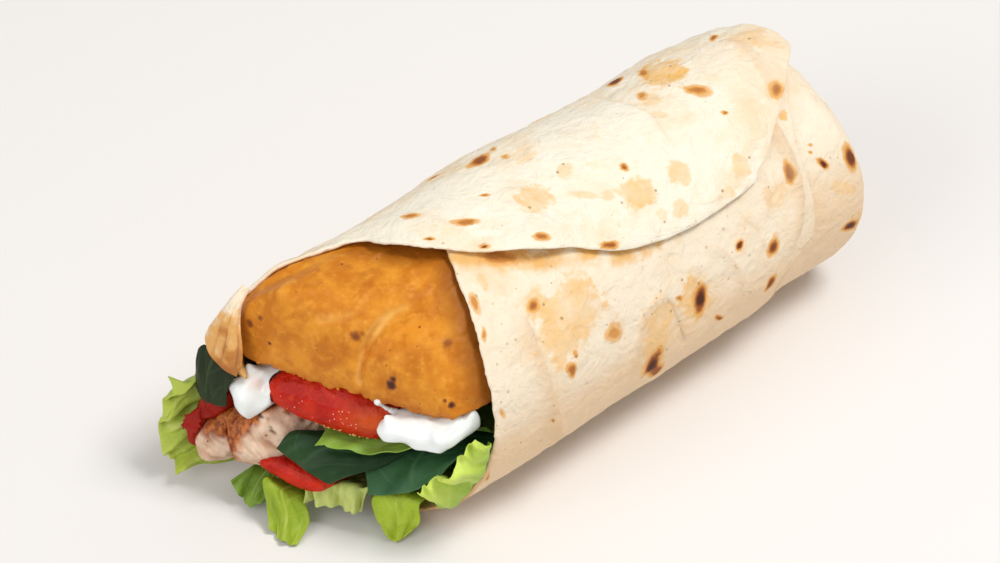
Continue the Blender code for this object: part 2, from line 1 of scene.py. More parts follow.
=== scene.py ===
# %% [markdown]
# # Dressing a filled tortilla wrap
# The part is a rolled flour tortilla, shut at one end. A crisp golden fillet, tomato, white sauce,
# grilled strips and salad leaves show at its open mouth. Its solids are already built, and they are
# what the physics uses. This lesson gives each of them the surface that the eye expects: toasted
# bread, fried crust, wet tomato and veined leaves.
# %% Load the solids
import math

import bpy
import numpy as np
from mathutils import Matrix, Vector, noise


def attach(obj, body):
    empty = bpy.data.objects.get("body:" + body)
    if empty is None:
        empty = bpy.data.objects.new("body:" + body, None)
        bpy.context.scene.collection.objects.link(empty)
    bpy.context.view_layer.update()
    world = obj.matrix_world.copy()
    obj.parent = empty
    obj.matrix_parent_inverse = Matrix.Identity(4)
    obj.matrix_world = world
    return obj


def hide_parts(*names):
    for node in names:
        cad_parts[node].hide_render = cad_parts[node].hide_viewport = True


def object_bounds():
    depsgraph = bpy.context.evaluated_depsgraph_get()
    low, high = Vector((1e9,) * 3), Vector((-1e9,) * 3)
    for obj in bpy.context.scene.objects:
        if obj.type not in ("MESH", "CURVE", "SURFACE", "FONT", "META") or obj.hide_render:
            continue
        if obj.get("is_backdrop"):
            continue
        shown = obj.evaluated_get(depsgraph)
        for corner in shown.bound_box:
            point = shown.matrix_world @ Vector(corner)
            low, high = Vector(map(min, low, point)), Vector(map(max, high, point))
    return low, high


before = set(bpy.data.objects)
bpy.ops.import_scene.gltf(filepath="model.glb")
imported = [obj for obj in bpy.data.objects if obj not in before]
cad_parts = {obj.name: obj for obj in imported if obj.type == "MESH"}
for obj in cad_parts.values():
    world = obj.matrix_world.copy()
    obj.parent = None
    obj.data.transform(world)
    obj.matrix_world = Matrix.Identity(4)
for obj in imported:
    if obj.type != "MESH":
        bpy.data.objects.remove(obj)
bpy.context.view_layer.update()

# %% [markdown]
# ## The roll's own millimetres
# A roll is easiest to think of along its own axis: x runs from the mouth to the shut end, and an
# angle goes round from the far side (0 degrees) over the top (90) to the near side (180). The solids
# were drawn in millimetres like that, and then moved so that the whole stands over the origin. So
# each piece here is shaped in the same millimetres, and ORIGIN carries it into the part's frame.
# %% Reading and writing a piece's points
MM = 0.001
ORIGIN = np.array((-68.012, -3.625, 0.0))  # where the roll's own zero lies in the part's frame


def read_rows(items, what):
    """Three numbers for each vertex or face, such as its place or its outward direction."""
    flat = np.empty(len(items) * 3)
    items.foreach_get(what, flat)
    return flat.reshape(-1, 3)


def read_points(piece):
    """A piece's vertices in the roll's millimetres."""
    return read_rows(piece.data.vertices, "co") / MM - ORIGIN


def write_points(piece, points):
    """Move a piece's vertices to points in the roll's millimetres."""
    piece.data.vertices.foreach_set("co", ((points + ORIGIN) * MM).ravel())
    piece.data.update()


def store(piece, **kept):
    """Keep numbers per vertex, or one number for all, which a material can read by their names."""
    for name, values in kept.items():
        layer = piece.data.attributes.new(name, "FLOAT", "POINT")
        every = np.broadcast_to(values, len(piece.data.vertices))
        layer.data.foreach_set("value", every.astype(np.float32))


print("the roll's zero lies", ORIGIN, "mm from the part's")

# %% [markdown]
# Blender's operators act on everything that is selected, and the solids come in selected. So each
# piece is first selected alone. Modifiers are applied at once, because a finished piece should hold
# its shape in its mesh. At its end each piece is shaded, coloured and made to ride on the part's one
# body, and the solids it stands for are hidden.
# %% Selecting, applying and finishing
def select_only(piece):
    """Deselect everything, then select one piece and make it active."""
    bpy.ops.object.select_all(action="DESELECT")
    piece.select_set(True)
    bpy.context.view_layer.objects.active = piece


def apply_modifier(piece, kind, **settings):
    """Add one modifier with its settings and apply it to the mesh."""
    select_only(piece)
    modifier = piece.modifiers.new(kind.lower(), kind)
    for key, value in settings.items():
        setattr(modifier, key, value)
    bpy.ops.object.modifier_apply(modifier=modifier.name)


def weld(piece, gap, outward=False):
    """Merge vertices closer than gap millimetres and, if asked, turn all the faces outward."""
    select_only(piece)
    bpy.ops.object.mode_set(mode="EDIT")
    bpy.ops.mesh.select_all(action="SELECT")
    bpy.ops.mesh.remove_doubles(threshold=gap * MM)
    if outward:
        bpy.ops.mesh.normals_make_consistent(inside=False)
    bpy.ops.object.mode_set(mode="OBJECT")


def finish_piece(piece, slot, look, *nodes):
    """Shade a piece smooth, give it its material, and let it stand for its solids."""
    select_only(piece)
    bpy.ops.object.shade_smooth()
    piece.data.materials.clear()
    piece.data.materials.append(look.material)
    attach(piece, "root")
    if nodes:
        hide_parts(*nodes)
    print(piece.name, sum(len(face.vertices) - 2 for face in piece.data.polygons), "triangles")


# %% [markdown]
# ## Small tools for shaping
# Three kinds of curve do nearly all the work: a smooth line through a few known stations, a soft
# step, and a bell. Noise gives what nobody could place by hand. They all take whole arrays at once,
# because the sheet of bread alone has tens of thousands of points.
# %% Curves and noise
def smooth_curve(stations, keys):
    """Values at keys of a smooth curve through (key, value, ...) stations."""
    rows = np.array(stations, float)
    known, values = rows[:, 0], rows[:, 1:]
    slopes = np.gradient(values, known, axis=0)
    keys = np.clip(keys, known[0], known[-1])
    i = np.clip(np.searchsorted(known, keys, side="right") - 1, 0, len(known) - 2)
    span = (known[i + 1] - known[i])[:, None]
    t = (keys - known[i])[:, None] / span
    result = ((2 * t**3 - 3 * t**2 + 1) * values[i] + (t**3 - 2 * t**2 + t) * span * slopes[i]
              + (3 * t**2 - 2 * t**3) * values[i + 1] + (t**3 - t**2) * span * slopes[i + 1])
    return result[:, 0] if result.shape[1] == 1 else result


def ramp(low, high, value):
    """A smooth step from 0 at low to 1 at high."""
    t = np.clip((value - low) / (high - low), 0.0, 1.0)
    return t * t * (3 - 2 * t)


def bump(centre, width, value):
    """A bell of height 1 at centre."""
    return np.exp(-((value - centre) / width) ** 2)


def noise_at(points, size=1.0, seed=0.0):
    """Smooth noise, about -1 to 1, whose lumps are roughly size apart."""
    shift = Vector((seed * 17.3, seed * 5.1, seed * 9.7))
    return np.array([noise.noise(Vector(p) + shift) for p in np.asarray(points) / size])


def flat_noise(across, along, size=1.0, seed=0.0):
    """The same noise over a flat pattern, such as a sheet before it is rolled."""
    return noise_at(np.stack([across, along, 0 * across], axis=1), size, seed)


def layered_noise(points, *layers):
    """Noise of several sizes added up, from (height, size, seed) layers."""
    return sum(height * noise_at(points, size, seed) for height, size, seed in layers)


print("a soft step from 2 to 4 is", ramp(2, 4, 2.5), "at 2.5 and", ramp(2, 4, 3.5), "at 3.5")

# %% [markdown]
# ## The bread
# A tortilla is one round, flat flatbread. Here it was laid flat, filled, folded in at one side and
# rolled up. The lesson does the same: it starts from a flat grid, and rolling is nothing but giving
# each grid point a turn round the roll and a place along it. The radii below are those of the solid,
# so the bread lands where the physics has it.
# %% The roll's measures
ROLL_RADIUS = 31.8
AXIS_HEIGHT = 30.8
SHEET = 1.8
LAYER_GAP = 0.5
LAYER_STEP = SHEET + LAYER_GAP          # how much further out each new layer lies
END_X = 148.0
CUP_RADIUS, CUP_START, CUP_CORNER = 30.4, 108.0, 7.5
TUCK_TURN, TUCK_DEPTH, TUCK_RISE, TUCK_LENGTH = 361.0, 12.0, 11.0, 13.0
ARC = math.radians(1) * ROLL_RADIUS     # length of one degree round the roll
FIRST_TURN, LAST_TURN = 70.0, 500.0

MOUTH_EDGE = [  # (turn, x) of the bread's edge round the mouth and along the front of the flap
    (70, 46), (92, 40.7), (103, 37.9), (121, 34.6), (141, 31.2), (161, 29.4), (181, 28.0),
    (210, 24), (240, 20.5), (270, 16.5), (300, 11), (330, 5), (352, 0), (366, -2), (376, -2.5),
    (388, 2), (400, 12.5), (410, 23.2), (417, 28.6), (432, 32), (447, 35.9), (454, 39.3),
    (463.5, 44.8), (472, 51), (477, 56.2), (481.5, 63), (488, 69.4), (493, 75), (496.4, 81.4),
    (499, 90), (500, 97)]
END_EDGE = [  # (turn, x) of its edge at the shut end and along the back of the flap
    (70, 145), (92, 147), (103, 142.7), (114, 137.3), (125, 133.2), (137, 130.5), (150, 129.2),
    (164, 128.8), (176, 127.7), (183, 124), (192, 120.9), (215, 118), (250, 117), (290, 118),
    (320, 124), (350, 132), (380, 139), (400, 143), (430, 146), (450, 147), (456, 146.7),
    (466, 140), (475.4, 133.8), (485, 125.9), (495, 116.8), (499.3, 108.7), (500, 103)]
print("the bread is wound", LAST_TURN - FIRST_TURN, "degrees, about",
      round((LAST_TURN - FIRST_TURN) * ARC), "mm of it")


# %% Rolling: a turn and a place along the roll become a point
def unevenness(x, angle):
    """How far every layer stands out or in, from the filling under it."""
    a = np.radians(angle)
    lumps = noise_at(np.stack([x / 26, 1.3 * np.cos(a), 1.3 * np.sin(a) + 7], axis=1))
    upper = 1 - np.maximum(0, -np.sin(a)) ** 0.5
    slimmer = 1.9 * ramp(78, 100, x) * np.maximum(0, np.cos(a - math.radians(40))) ** 2
    crown = 1.3 * ramp(125, 148, x) * np.maximum(0, np.cos(a - math.radians(72))) ** 2
    return 1.1 * lumps * upper - slimmer - crown


def on_roll(x, angle, radius):
    """Points at angles and distances from the roll's axis."""
    a = np.radians(angle)
    reach = radius + unevenness(x, angle)
    low_near = np.maximum(0, np.cos(a - math.radians(215))) * radius / CUP_RADIUS
    slant = 3.0 * ramp(118, 150, x) * low_near
    return np.stack([x + slant, reach * np.cos(a), AXIS_HEIGHT + reach * np.sin(a)], axis=1)


def winding(turn):
    """How much further out the sheet lies as it climbs over its own first layer."""
    return ramp(300, 402, turn) * LAYER_STEP


def relief(turn, x):
    """Where the sheet leaves the round: the flared near rim and the lifted edge of the flap."""
    flare = 2.4 * bump(14, 10, x) * bump(398, 24, turn)
    return flare + 2.6 * bump(53, 10, x) * ramp(458, 474, turn)


def tuck(turn, x):
    """How far the far corner of the mouth is folded in under the fillet, from 0 to 1."""
    width = np.where(turn > TUCK_TURN, 10, 4.5)
    depth = np.maximum(0, 1 - (x - smooth_curve(MOUTH_EDGE, turn)) / TUCK_LENGTH) ** 2
    return depth * bump(TUCK_TURN, width, turn)


print("at 98 mm along, the top stands out", unevenness(np.array([98.0]), np.array([90.0])).round(2), "mm")

# %% [markdown]
# Real bread isn't a clean tube. It has soft waves from the filling, low blisters, and a few sharp
# creases where it was folded. A crease is a line on the sheet with a soft bank on one side and a
# small drop on the other.
# %% Creases and waves
CREASES = [  # (height, bank width, points (x, turn))
    (0.55, 1.6, [(96, 148), (101, 158), (104, 170), (105, 184)]),
    (-0.50, 1.4, [(108, 146), (112, 158), (113, 172)]),
    (0.55, 1.5, [(60, 140), (66, 150), (69, 162)]),
    (0.40, 1.6, [(119, 132), (118, 144), (115, 156)]),
    (0.95, 3.5, [(44.8, 130), (44.6, 142), (44.1, 156), (45.3, 175), (48.4, 197), (50, 212)]),
    (1.15, 2.4, [(128, 100), (127.9, 128), (127.7, 139), (126.2, 154), (123.6, 166), (119, 178)]),
    (-0.75, 1.6, [(82.0, 160), (84.1, 168), (86.0, 182), (88, 195)]),
    (0.85, 2.0, [(70.3, 190), (71.9, 172), (74.1, 163), (78, 160.5), (84, 160)]),
    (0.70, 2.2, [(3.0, 393), (5.5, 384), (8.9, 370), (13, 352)]),
    (0.50, 1.8, [(0.5, 388), (2.5, 378), (6.0, 366), (10, 350)]),
    (-0.60, 2.0, [(101, 470), (104, 452), (103, 430), (106, 408)]),
    (0.70, 1.8, [(131, 474), (134, 462), (136, 448), (135, 430)])]
WAVES = [  # (height, size along the roll, size round it, seed)
    (0.42, 15.0, 15.0, 1.0), (0.28, 6.0, 6.0, 2.0), (0.17, 1.9, 9.0, 3.0), (0.12, 6.5, 1.9, 4.0)]
CREASE_DROP = 0.35      # how soon the bank falls away behind a crease
print(len(CREASES), "creases and", len(WAVES), "kinds of wave")


def crease_height(turn, x, height, bank, line):
    """A low bank that rises toward a line and drops behind it, fading at the line's ends."""
    spot = np.stack([x, turn * ARC], axis=1)
    path = np.array([(px, pt * ARC) for px, pt in line])
    nearest, side, fade = np.full(len(x), 1e9), np.zeros(len(x)), np.zeros(len(x))
    for k, (start, stop) in enumerate(zip(path, path[1:])):
        step = stop - start
        share = np.clip((spot - start) @ step / (step @ step), 0, 1)
        away = spot - (start + share[:, None] * step)
        gap = np.hypot(away[:, 0], away[:, 1])
        closer = gap < nearest
        nearest = np.where(closer, gap, nearest)
        side = np.where(closer, np.sign(step[0] * away[:, 1] - step[1] * away[:, 0]), side)
        done = (k + share) / (len(path) - 1)
        fade = np.where(closer, np.minimum(1, 6 * np.minimum(done, 1 - done)), fade)
    signed = nearest * side
    return height * fade * np.where(signed > 0, np.exp(-signed / bank), np.exp(signed / CREASE_DROP))


def sheet_middle(turn, x):
    """Points halfway through the rolled sheet."""
    fold = tuck(turn, x)
    radius = ROLL_RADIUS - SHEET / 2 + winding(turn) + relief(turn, x)
    top = 0.25 + 0.75 * ramp(-0.9, -0.2, np.sin(np.radians(turn)))
    for height, size, size_round, seed in WAVES:
        radius = radius + top * height * flat_noise(x / size, turn * ARC / size_round, 1.0, seed)
    for crease in CREASES:
        radius = radius + crease_height(turn, x, *crease)
    points = on_roll(x, turn + TUCK_RISE * fold, radius - TUCK_DEPTH * fold)
    points[:, 2] = np.maximum(points[:, 2], SHEET / 2)
    return points


# %% [markdown]
# The grid is flat and even when it is added. Its columns become turns and its rows become places
# along the roll. They are closer together where the bread shows and along its edge, and further
# apart underneath. The edge itself is torn a little, so it is moved in and out by noise.
# %% The flat sheet
def flat_sheet(name, columns, rows):
    """A flat grid with the given numbers of grid lines, and each vertex's column and row."""
    bpy.ops.object.select_all(action="DESELECT")
    bpy.ops.mesh.primitive_grid_add(x_subdivisions=columns - 1, y_subdivisions=rows - 1, size=2)
    piece = bpy.context.object
    piece.name = piece.data.name = name
    across, along = (read_rows(piece.data.vertices, "co")[:, :2].T + 1) / 2
    return piece, np.rint(across * (columns - 1)).astype(int), np.rint(along * (rows - 1)).astype(int)


TURN_RUNS = [(70, 95, 3.0), (95, 240, 1.35), (240, 330, 3.2), (330, 497, 1.35)]  # from, to, step
turns = np.concatenate([np.arange(*run) for run in TURN_RUNS] + [[497.6, 498.4, 499, 499.6, 500]])
SHEET_LENGTH, INNER_ROWS, FIRST_INNER = 110.0, 148, 0.032       # along the roll, about
near_edge = np.array([0, 0.2, 0.5, 0.9, 1.4, 2.0, 2.7]) / SHEET_LENGTH   # rows that round the edge
shares = np.concatenate([near_edge, np.linspace(FIRST_INNER, 1 - FIRST_INNER, INNER_ROWS),
                         1 - near_edge[::-1]])

bread, column, row = flat_sheet("tortilla_sheet", len(turns), len(shares))
turn = turns[column]
edge_tear = 0.65 * flat_noise(turn * ARC, 0 * turn, 4.6, 4)
edge_tear += 0.28 * flat_noise(turn * ARC, 0 * turn, 0.9, 5)
start = smooth_curve(MOUTH_EDGE, turn) + edge_tear
stop = smooth_curve(END_EDGE, turn) - 0.6 * edge_tear
x = start + (stop - start) * shares[row]
print("flat sheet with", len(turns), "by", len(shares), "grid lines")

# %% Roll it up
write_points(bread, sheet_middle(turn, x))


def gap_to_edge(gap, edge, turn):
    """The straight distance to an edge of the sheet, from the gap to it along the roll."""
    slope = (smooth_curve(edge, turn + 0.5) - smooth_curve(edge, turn - 0.5)) / ARC
    return gap / np.sqrt(1 + slope ** 2)


from_edge = np.minimum(gap_to_edge(x - start, MOUTH_EDGE, turn), gap_to_edge(stop - x, END_EDGE, turn))
from_edge = np.minimum(from_edge, (LAST_TURN - turn) * ARC)
store(bread, rim=(1 - ramp(0.4, 2.6, from_edge)) * ramp(176, 212, turn) * ramp(300, 260, turn))
print("rolled, thickness still missing")

# %% [markdown]
# Solidify gives the sheet its 1.8 mm. A torn edge of bread is rounded and not square, so a vertex
# group thins the sheet toward its edge. Two Displace modifiers with cloud textures then roughen
# both faces: one for the dimples of the griddle and one for the floury grain. They come last of
# all, once the toast marks are kept, because those are counted on the flat sheet's own vertices.
# %% Thickness and grain
ROUND, TAPER = 1.0, 7.0     # the edge is rounded over the first and grows thinner over the second


def weigh_edge(piece, from_edge, thinnest=0.6):
    """Weigh a piece's vertices so that its thickness tapers and rounds off toward its edge."""
    share = np.sqrt(1 - (1 - np.clip(from_edge / ROUND, 0, 1)) ** 2)
    share *= thinnest + (1 - thinnest) * ramp(0, TAPER, from_edge)
    group = piece.vertex_groups.new(name="thin")
    for index in np.nonzero(share < 1)[0]:
        group.add([int(index)], float(1 - share[index]), "REPLACE")


def thicken(piece, thickness, thinnest):
    """Give a weighed sheet its thickness in millimetres, and at its edge that share of it."""
    apply_modifier(piece, "SOLIDIFY", thickness=thickness * MM, offset=0, vertex_group="thin",
                   invert_vertex_group=True, thickness_vertex_group=thinnest, use_rim=True)


weigh_edge(bread, from_edge, 0.55)


def clouds(name, size):
    """A cloud texture for Displace, with lumps about size millimetres apart."""
    texture = bpy.data.textures.new(name, "CLOUDS")
    texture.noise_scale = size * MM
    texture.noise_depth = 2
    return texture


RELIEF = [(clouds("dimples", 4.5), 0.50), (clouds("grain", 1.3), 0.16)]   # (texture, height in mm)


def roughen_bread(piece):
    """Push a piece of bread in and out by dimples and grain, but never below the floor."""
    for texture, height in RELIEF:
        apply_modifier(piece, "DISPLACE", texture=texture, strength=height * MM, mid_level=0.5,
                       texture_coords="LOCAL")
    points = read_points(piece)
    points[:, 2] = np.maximum(points[:, 2], 0.0)
    write_points(piece, points)


print("the edge is rounded over", ROUND, "mm and tapers over", TAPER)

# %% [markdown]
# ## Toast marks
# A tortilla is baked on a hot plate. Where it lies flat it turns pale gold, and where a blister
# touches the plate it scorches brown, with a dark heart. Both are listed here one by one, in the
# sheet's own coordinates, so that they follow the bread round the roll. The values are kept on the
# vertices, and the material decides the colours.
# %% Where the bread is toasted
# each mark: (x, turn, half length, half width, tilt in degrees, strength)
GOLDEN = [
    (118, 432, 8.5, 5.2, -60, 1.0), (108, 445, 2.9, 2.6, -75, 0.5), (105, 454, 2.0, 1.1, 37, 0.4),
    (133, 472, 3.5, 2.5, -26, 0.6), (132, 121, 1.6, 1.2, -33, 1.0), (90, 171, 6.5, 4.8, 72, 0.9),
    (79, 174, 8.6, 5.6, -70, 0.85), (41, 114, 2.0, 1.2, -63, 0.7), (55, 146, 11.0, 7.8, -37, 0.75),
    (49, 132, 3.6, 3.2, -13, 0.8), (74, 432, 4.7, 4.1, -7, 0.5), (65, 457, 4.8, 4.2, 5, 0.75),
    (75, 466, 3.6, 1.6, 39, 0.6), (79, 472, 1.9, 1.4, 13, 0.55), (86, 477, 5.6, 3.5, 20, 0.8),
    (80, 464, 9.0, 4.5, 10, 0.12),
    (98, 480, 3.1, 2.6, 14, 0.6), (113, 490, 3.4, 2.4, -27, 0.6), (106, 496, 3.0, 1.3, 17, 0.6),
    (93, 491, 2.4, 1.9, 6, 0.5), (88, 489, 1.9, 1.4, -34, 0.5), (76, 454, 2.4, 1.7, -37, 0.5),
    (82, 458, 1.8, 1.4, 21, 0.4), (119, 147, 3.7, 3.0, 29, 0.45), (121, 490, 2.5, 2.1, -9, 0.35),
    (140, 442, 6.9, 3.6, 69, 0.45), (68, 128, 2.3, 1.2, 25, 1.0), (106, 159, 2.6, 2.2, 42, 0.35),
    (77, 192, 6.0, 4.6, 71, 0.8), (65, 161, 3.6, 2.4, 34, 0.4), (50, 112, 8.7, 2.4, 38, 0.6),
    (30, 250, 9, 6, 20, 0.6), (70, 262, 11, 6, -30, 0.7), (100, 240, 8, 5, 50, 0.6),
    (60, 300, 9, 6, 10, 0.6), (95, 318, 10, 6, -40, 0.7), (40, 340, 6, 4, 30, 0.6),
    (75, 368, 10, 5, 25, 0.7), (110, 375, 7, 5, -50, 0.6), (50, 392, 7, 4, 0, 0.6),
    (120, 345, 6, 4, 60, 0.5), (95, 400, 6, 4, 15, 0.6)]
TOASTED = [
    (116, 425, 3.5, 1.2, -54, 0.35), (118, 454, 3.0, 1.9, 56, 0.36), (108, 440, 1.6, 1.2, -53, 0.3),
    (113, 411, 4.6, 1.8, -53, 0.75), (118, 469, 1.0, 0.7, 17, 0.6), (133, 472, 2.5, 1.8, -24, 0.42),
    (125, 143, 2.8, 1.2, -74, 0.55), (106, 159, 1.4, 1.2, 42, 0.9), (115, 168, 2.9, 1.8, -63, 0.7),
    (114, 187, 2.7, 1.4, -77, 0.65), (92, 172, 4.2, 2.1, -80, 1.0), (86, 166, 1.2, 0.7, 41, 0.35),
    (77, 192, 4.9, 3.2, 71, 1.0), (49, 132, 1.9, 1.6, -13, 0.45), (65, 161, 2.5, 1.8, 34, 0.20),
    (53, 159, 1.0, 0.8, 80, 0.4), (51, 165, 2.1, 1.4, 82, 0.42), (98, 190, 1.9, 0.7, 57, 0.75),
    (31, 166, 1.6, 0.8, -88, 0.25), (45, 184, 1.1, 0.5, 53, 0.75), (58, 473, 2.4, 1.2, 21, 0.42),
    (72, 488, 2.4, 0.9, 19, 0.52), (46, 464, 1.1, 0.5, 46, 0.8), (48, 450, 3.2, 0.9, 45, 0.35),
    (67, 421, 3.9, 2.2, -30, 0.60), (73, 418, 1.9, 0.7, -55, 0.55), (71, 429, 1.6, 1.3, -62, 0.28),
    (88, 466, 1.1, 0.9, -27, 0.55), (136, 430, 2.2, 0.8, -52, 0.5), (42, 429, 2.3, 1.3, 57, 0.42),
    (39, 446, 1.3, 0.5, 46, 0.6), (49, 109, 6.5, 1.8, 38, 0.32), (36, 120, 2.5, 1.0, -71, 0.22),
    (34, 132, 1.8, 0.8, -73, 0.28), (79, 200, 4.1, 2.0, 42, 0.55), (57, 444, 1.2, 0.5, 30, 0.4),
    (95, 230, 3.0, 2.0, 20, 0.9), (62, 250, 4.2, 2.6, -60, 0.9), (35, 262, 2.4, 1.6, 30, 0.7),
    (80, 285, 3.4, 2.2, 70, 0.95), (55, 310, 4.0, 2.4, -20, 0.8), (100, 325, 3.2, 2.0, 50, 0.85),
    (33, 352, 2.2, 1.5, 60, 0.6), (70, 352, 3.6, 2.2, -35, 0.9), (88, 378, 2.8, 1.8, 15, 0.7),
    (118, 385, 2.6, 1.6, -60, 0.65), (45, 380, 3.0, 1.6, 40, 0.75), (105, 402, 2.0, 1.4, 0, 0.5),
    (60, 405, 1.6, 1.0, 20, 0.6), (24.0, 221, 3.0, 1.3, 60, 0.55), (27.5, 200, 2.0, 0.8, 80, 0.45)]
print(len(GOLDEN), "golden patches and", len(TOASTED), "scorch marks")


# %% Putting the marks on the bread
def nearness(x, arc, marks, degree, seed):
    """How near each point is to a mark's heart, and how strong that mark is there."""
    wobble = [0.9 * flat_noise(x, arc, 5.0, seed + k) + 0.3 * flat_noise(x, arc, 1.8, seed + 1 + k)
              for k in (0, 2)]
    x, arc = x + wobble[0], arc + wobble[1]
    inside, strength = np.zeros(len(x)), np.zeros(len(x))
    for mark_x, mark_turn, long, short, tilt, power in marks:
        dx, da = x - mark_x, arc - mark_turn * degree
        c, s = math.cos(math.radians(tilt)), math.sin(math.radians(tilt))
        near = 1.4 - np.hypot((dx * c + da * s) / long, (da * c - dx * s) / short)
        strength = np.where(near > inside, power, strength)
        inside = np.maximum(inside, near)
    return inside, strength


def store_marks(piece, x, arc, golden, toasted, degree, seed):
    """Keep a piece's golden patches and scorch marks."""
    gold, gold_strength = nearness(x, arc, golden, degree, seed)
    toast, toast_strength = nearness(x, arc, toasted, degree, seed + 10)
    store(piece, gold=gold, gold_strength=gold_strength, toast=toast, toast_strength=toast_strength)


store_marks(bread, x, turn * ARC, GOLDEN, TOASTED, ARC, 11)
# Painted shade: the sheet is darkened along its creases.
crease_shade = sum(np.abs(crease_height(turn, x, *crease)) for crease in CREASES)
# Painted shade: the roll's lower side, more faintly all of the sheet below the flap, and the flap's far end
# are coloured warmer and darker.
lower_side = ramp(158, 200, turn) * (1 - ramp(345, 395, turn))
flap_end = ramp(112, 138, x) * ramp(425, 440, turn)
store(bread, fold=np.clip(crease_shade * 1.2, 0, 1),
      warm=np.clip(lower_side + 0.3 * ramp(420, 395, turn) + 0.35 * flap_end, 0, 1))
print("creases shade", round(100 * np.mean(crease_shade > 0.2)), "% of the sheet")

# %% Grease that soaked in under the flap's edge and at the tucked corner
flap_turns = np.arange(432.0, 500.1, 1.0)
under_flap = np.full(len(x), 99.0)
for edge_x, edge_arc in zip(smooth_curve(MOUTH_EDGE, flap_turns), (flap_turns - 360) * ARC):
    under_flap = np.minimum(under_flap, np.hypot(x - edge_x, turn * ARC - edge_arc))
greasy = np.exp(-(under_flap / 4.2) ** 2) * (turn < 250) * ramp(104, 78, x)
greasy = np.maximum(greasy, 1.3 * np.minimum(1, 2.5 * tuck(turn, x)))
store(bread, grease=greasy * np.clip(0.8 + 0.7 * flat_noise(x, turn * ARC, 3.4, 9), 0, 1))
soaked = under_flap * (greasy > 0.3) * (turn < 250)
print("grease reaches", round(float(soaked.max()), 1), "mm from the flap")

# %% Thicken and roughen the sheet
thicken(bread, SHEET, 0.1)
roughen_bread(bread)
print("the bread is", SHEET, "mm thick, its relief", [height for _, height in RELIEF], "mm")

# %% [markdown]
# ## The shut end
# Before rolling, one side of the bread was folded in. After rolling, that fold is a cup inside the
# last turn, with pleats that swirl to a dimple. It starts from the same flat grid, whose columns go
# right round and whose rows run along the cup's side, round its corner and in to the middle. There
# the seam and the pole are merged, so the cup is closed.
# %% The end cup
cup_side = [(x_side, CUP_RADIUS) for x_side in np.arange(CUP_START, END_X - CUP_CORNER, 0.9)]
cup_bend = [(END_X - CUP_CORNER * (1 - math.sin(a)), CUP_RADIUS - CUP_CORNER * (1 - math.cos(a)))
            for a in np.radians(np.arange(0, 90, 5.5))]
cup_face = [(END_X, radius) for radius in np.linspace(CUP_RADIUS - CUP_CORNER, 0, 28)]
profile = np.array(cup_side + cup_bend + cup_face)
CUP_COLUMNS, PLEATS = 241, 5

cup, column, row = flat_sheet("tortilla_end", CUP_COLUMNS, len(profile))
angle = 360 * column / (CUP_COLUMNS - 1)
round_y, round_z = np.cos(np.radians(angle)), np.sin(np.radians(angle))
cup_x, cup_radius = profile[row].T
swirl = (angle * PLEATS / 360 + cup_radius / 22) % 1.0
dimple = 3.0 * bump(0, 9, cup_radius)
pleat = 1.2 * (1 - swirl) ** 2 * ramp(4, 12, cup_radius) * (1 - ramp(24, 29, cup_radius))
on_face = ramp(140, 146, cup_x)
surface = np.stack([cup_x, round_y * cup_radius, round_z * cup_radius], axis=1)
waviness = layered_noise(surface, (0.4, 11, 6), (0.2, 4, 7)) * ramp(114, 122, cup_x)
points = on_roll(cup_x - on_face * (dimple + pleat), angle, cup_radius)
points += np.stack([on_face, round_y * (1 - on_face), round_z * (1 - on_face)], axis=1) * waviness[:, None]
points[:, 2] = np.maximum(points[:, 2], 0.0)
write_points(cup, points)
print("end cup with", len(profile), "rows and", PLEATS, "pleats")

# %% Marks on the end cup, and its thickness
CUP_ARC = math.radians(1) * CUP_RADIUS
CUP_GOLDEN = [(138, 164, 3.9, 2.0, 39, 0.5), (142, 300, 6, 4, 20, 0.6), (136, 240, 5, 3, -40, 0.6),
              (141, 60, 4, 3, 30, 0.5), (140, 20, 5, 3, 0, 0.6), (143, 190, 4, 2.4, 60, 0.6)]
CUP_TOASTED = [(135, 149, 1.5, 0.9, 65, 0.95), (143, 154, 3.9, 2.0, -84, 0.75),
               (140, 190, 3.0, 1.8, 30, 0.95), (134, 139, 0.6, 0.6, 0, 0.6),
               (133, 142, 0.5, 0.5, 0, 0.5), (142, 245, 2.6, 1.8, 20, 0.8),
               (138, 285, 2.0, 1.4, -30, 0.7), (144, 30, 2.6, 1.6, 70, 0.7)]
store_marks(cup, cup_x, angle * CUP_ARC, CUP_GOLDEN, CUP_TOASTED, CUP_ARC, 31)
# Painted shade: the cup is coloured warmer and darker on its near and lower side, and its pleats are
# darkened too.
store(cup, grease=0.0, rim=0.0,
      warm=0.2 + 0.8 * ramp(132, 176, angle) * (1 - ramp(330, 360, angle)),
      fold=on_face * np.clip(1 - 3 * swirl, 0, 1) * ramp(4, 12, cup_radius) * 0.6)
weld(cup, 0.02, outward=True)
apply_modifier(cup, "SOLIDIFY", thickness=SHEET * MM, offset=-1, use_rim=True)
roughen_bread(cup)
print(len(CUP_GOLDEN), "golden patches and", len(CUP_TOASTED), "scorch marks on the end cup")

# %% [markdown]
# ## The solid fillings
# The fillet, the strips, the tomato and the sauce already have their forms as solids, cut so that
# they don't press into each other. Each gets a finer skin over that form: a copy is welded, because
# a loaded solid is loose triangles, then remeshed into small even squares and smoothed. What makes
# it food comes after that, as relief.
# %% Where the bread's wall is, seen from inside
def turn_of(points):
    """The turn of the innermost layer of bread that lies outside each point."""
    angle = np.degrees(np.arctan2(points[:, 2] - AXIS_HEIGHT, points[:, 1])) % 360
    return np.where(angle < FIRST_TURN, angle + 360, angle)


def wall_at(points):
    """How far from the roll's axis the inner face of the bread is, in each point's direction."""
    x, turn = points[:, 0], turn_of(points)
    return ROLL_RADIUS - SHEET + winding(turn) + relief(turn, x) + unevenness(x, turn)


def ahead_of_mouth(points):
    """How far each point stands out of the mouth, in front of the bread's edge."""
    return np.maximum(0, smooth_curve(MOUTH_EDGE, turn_of(points)) - points[:, 0])


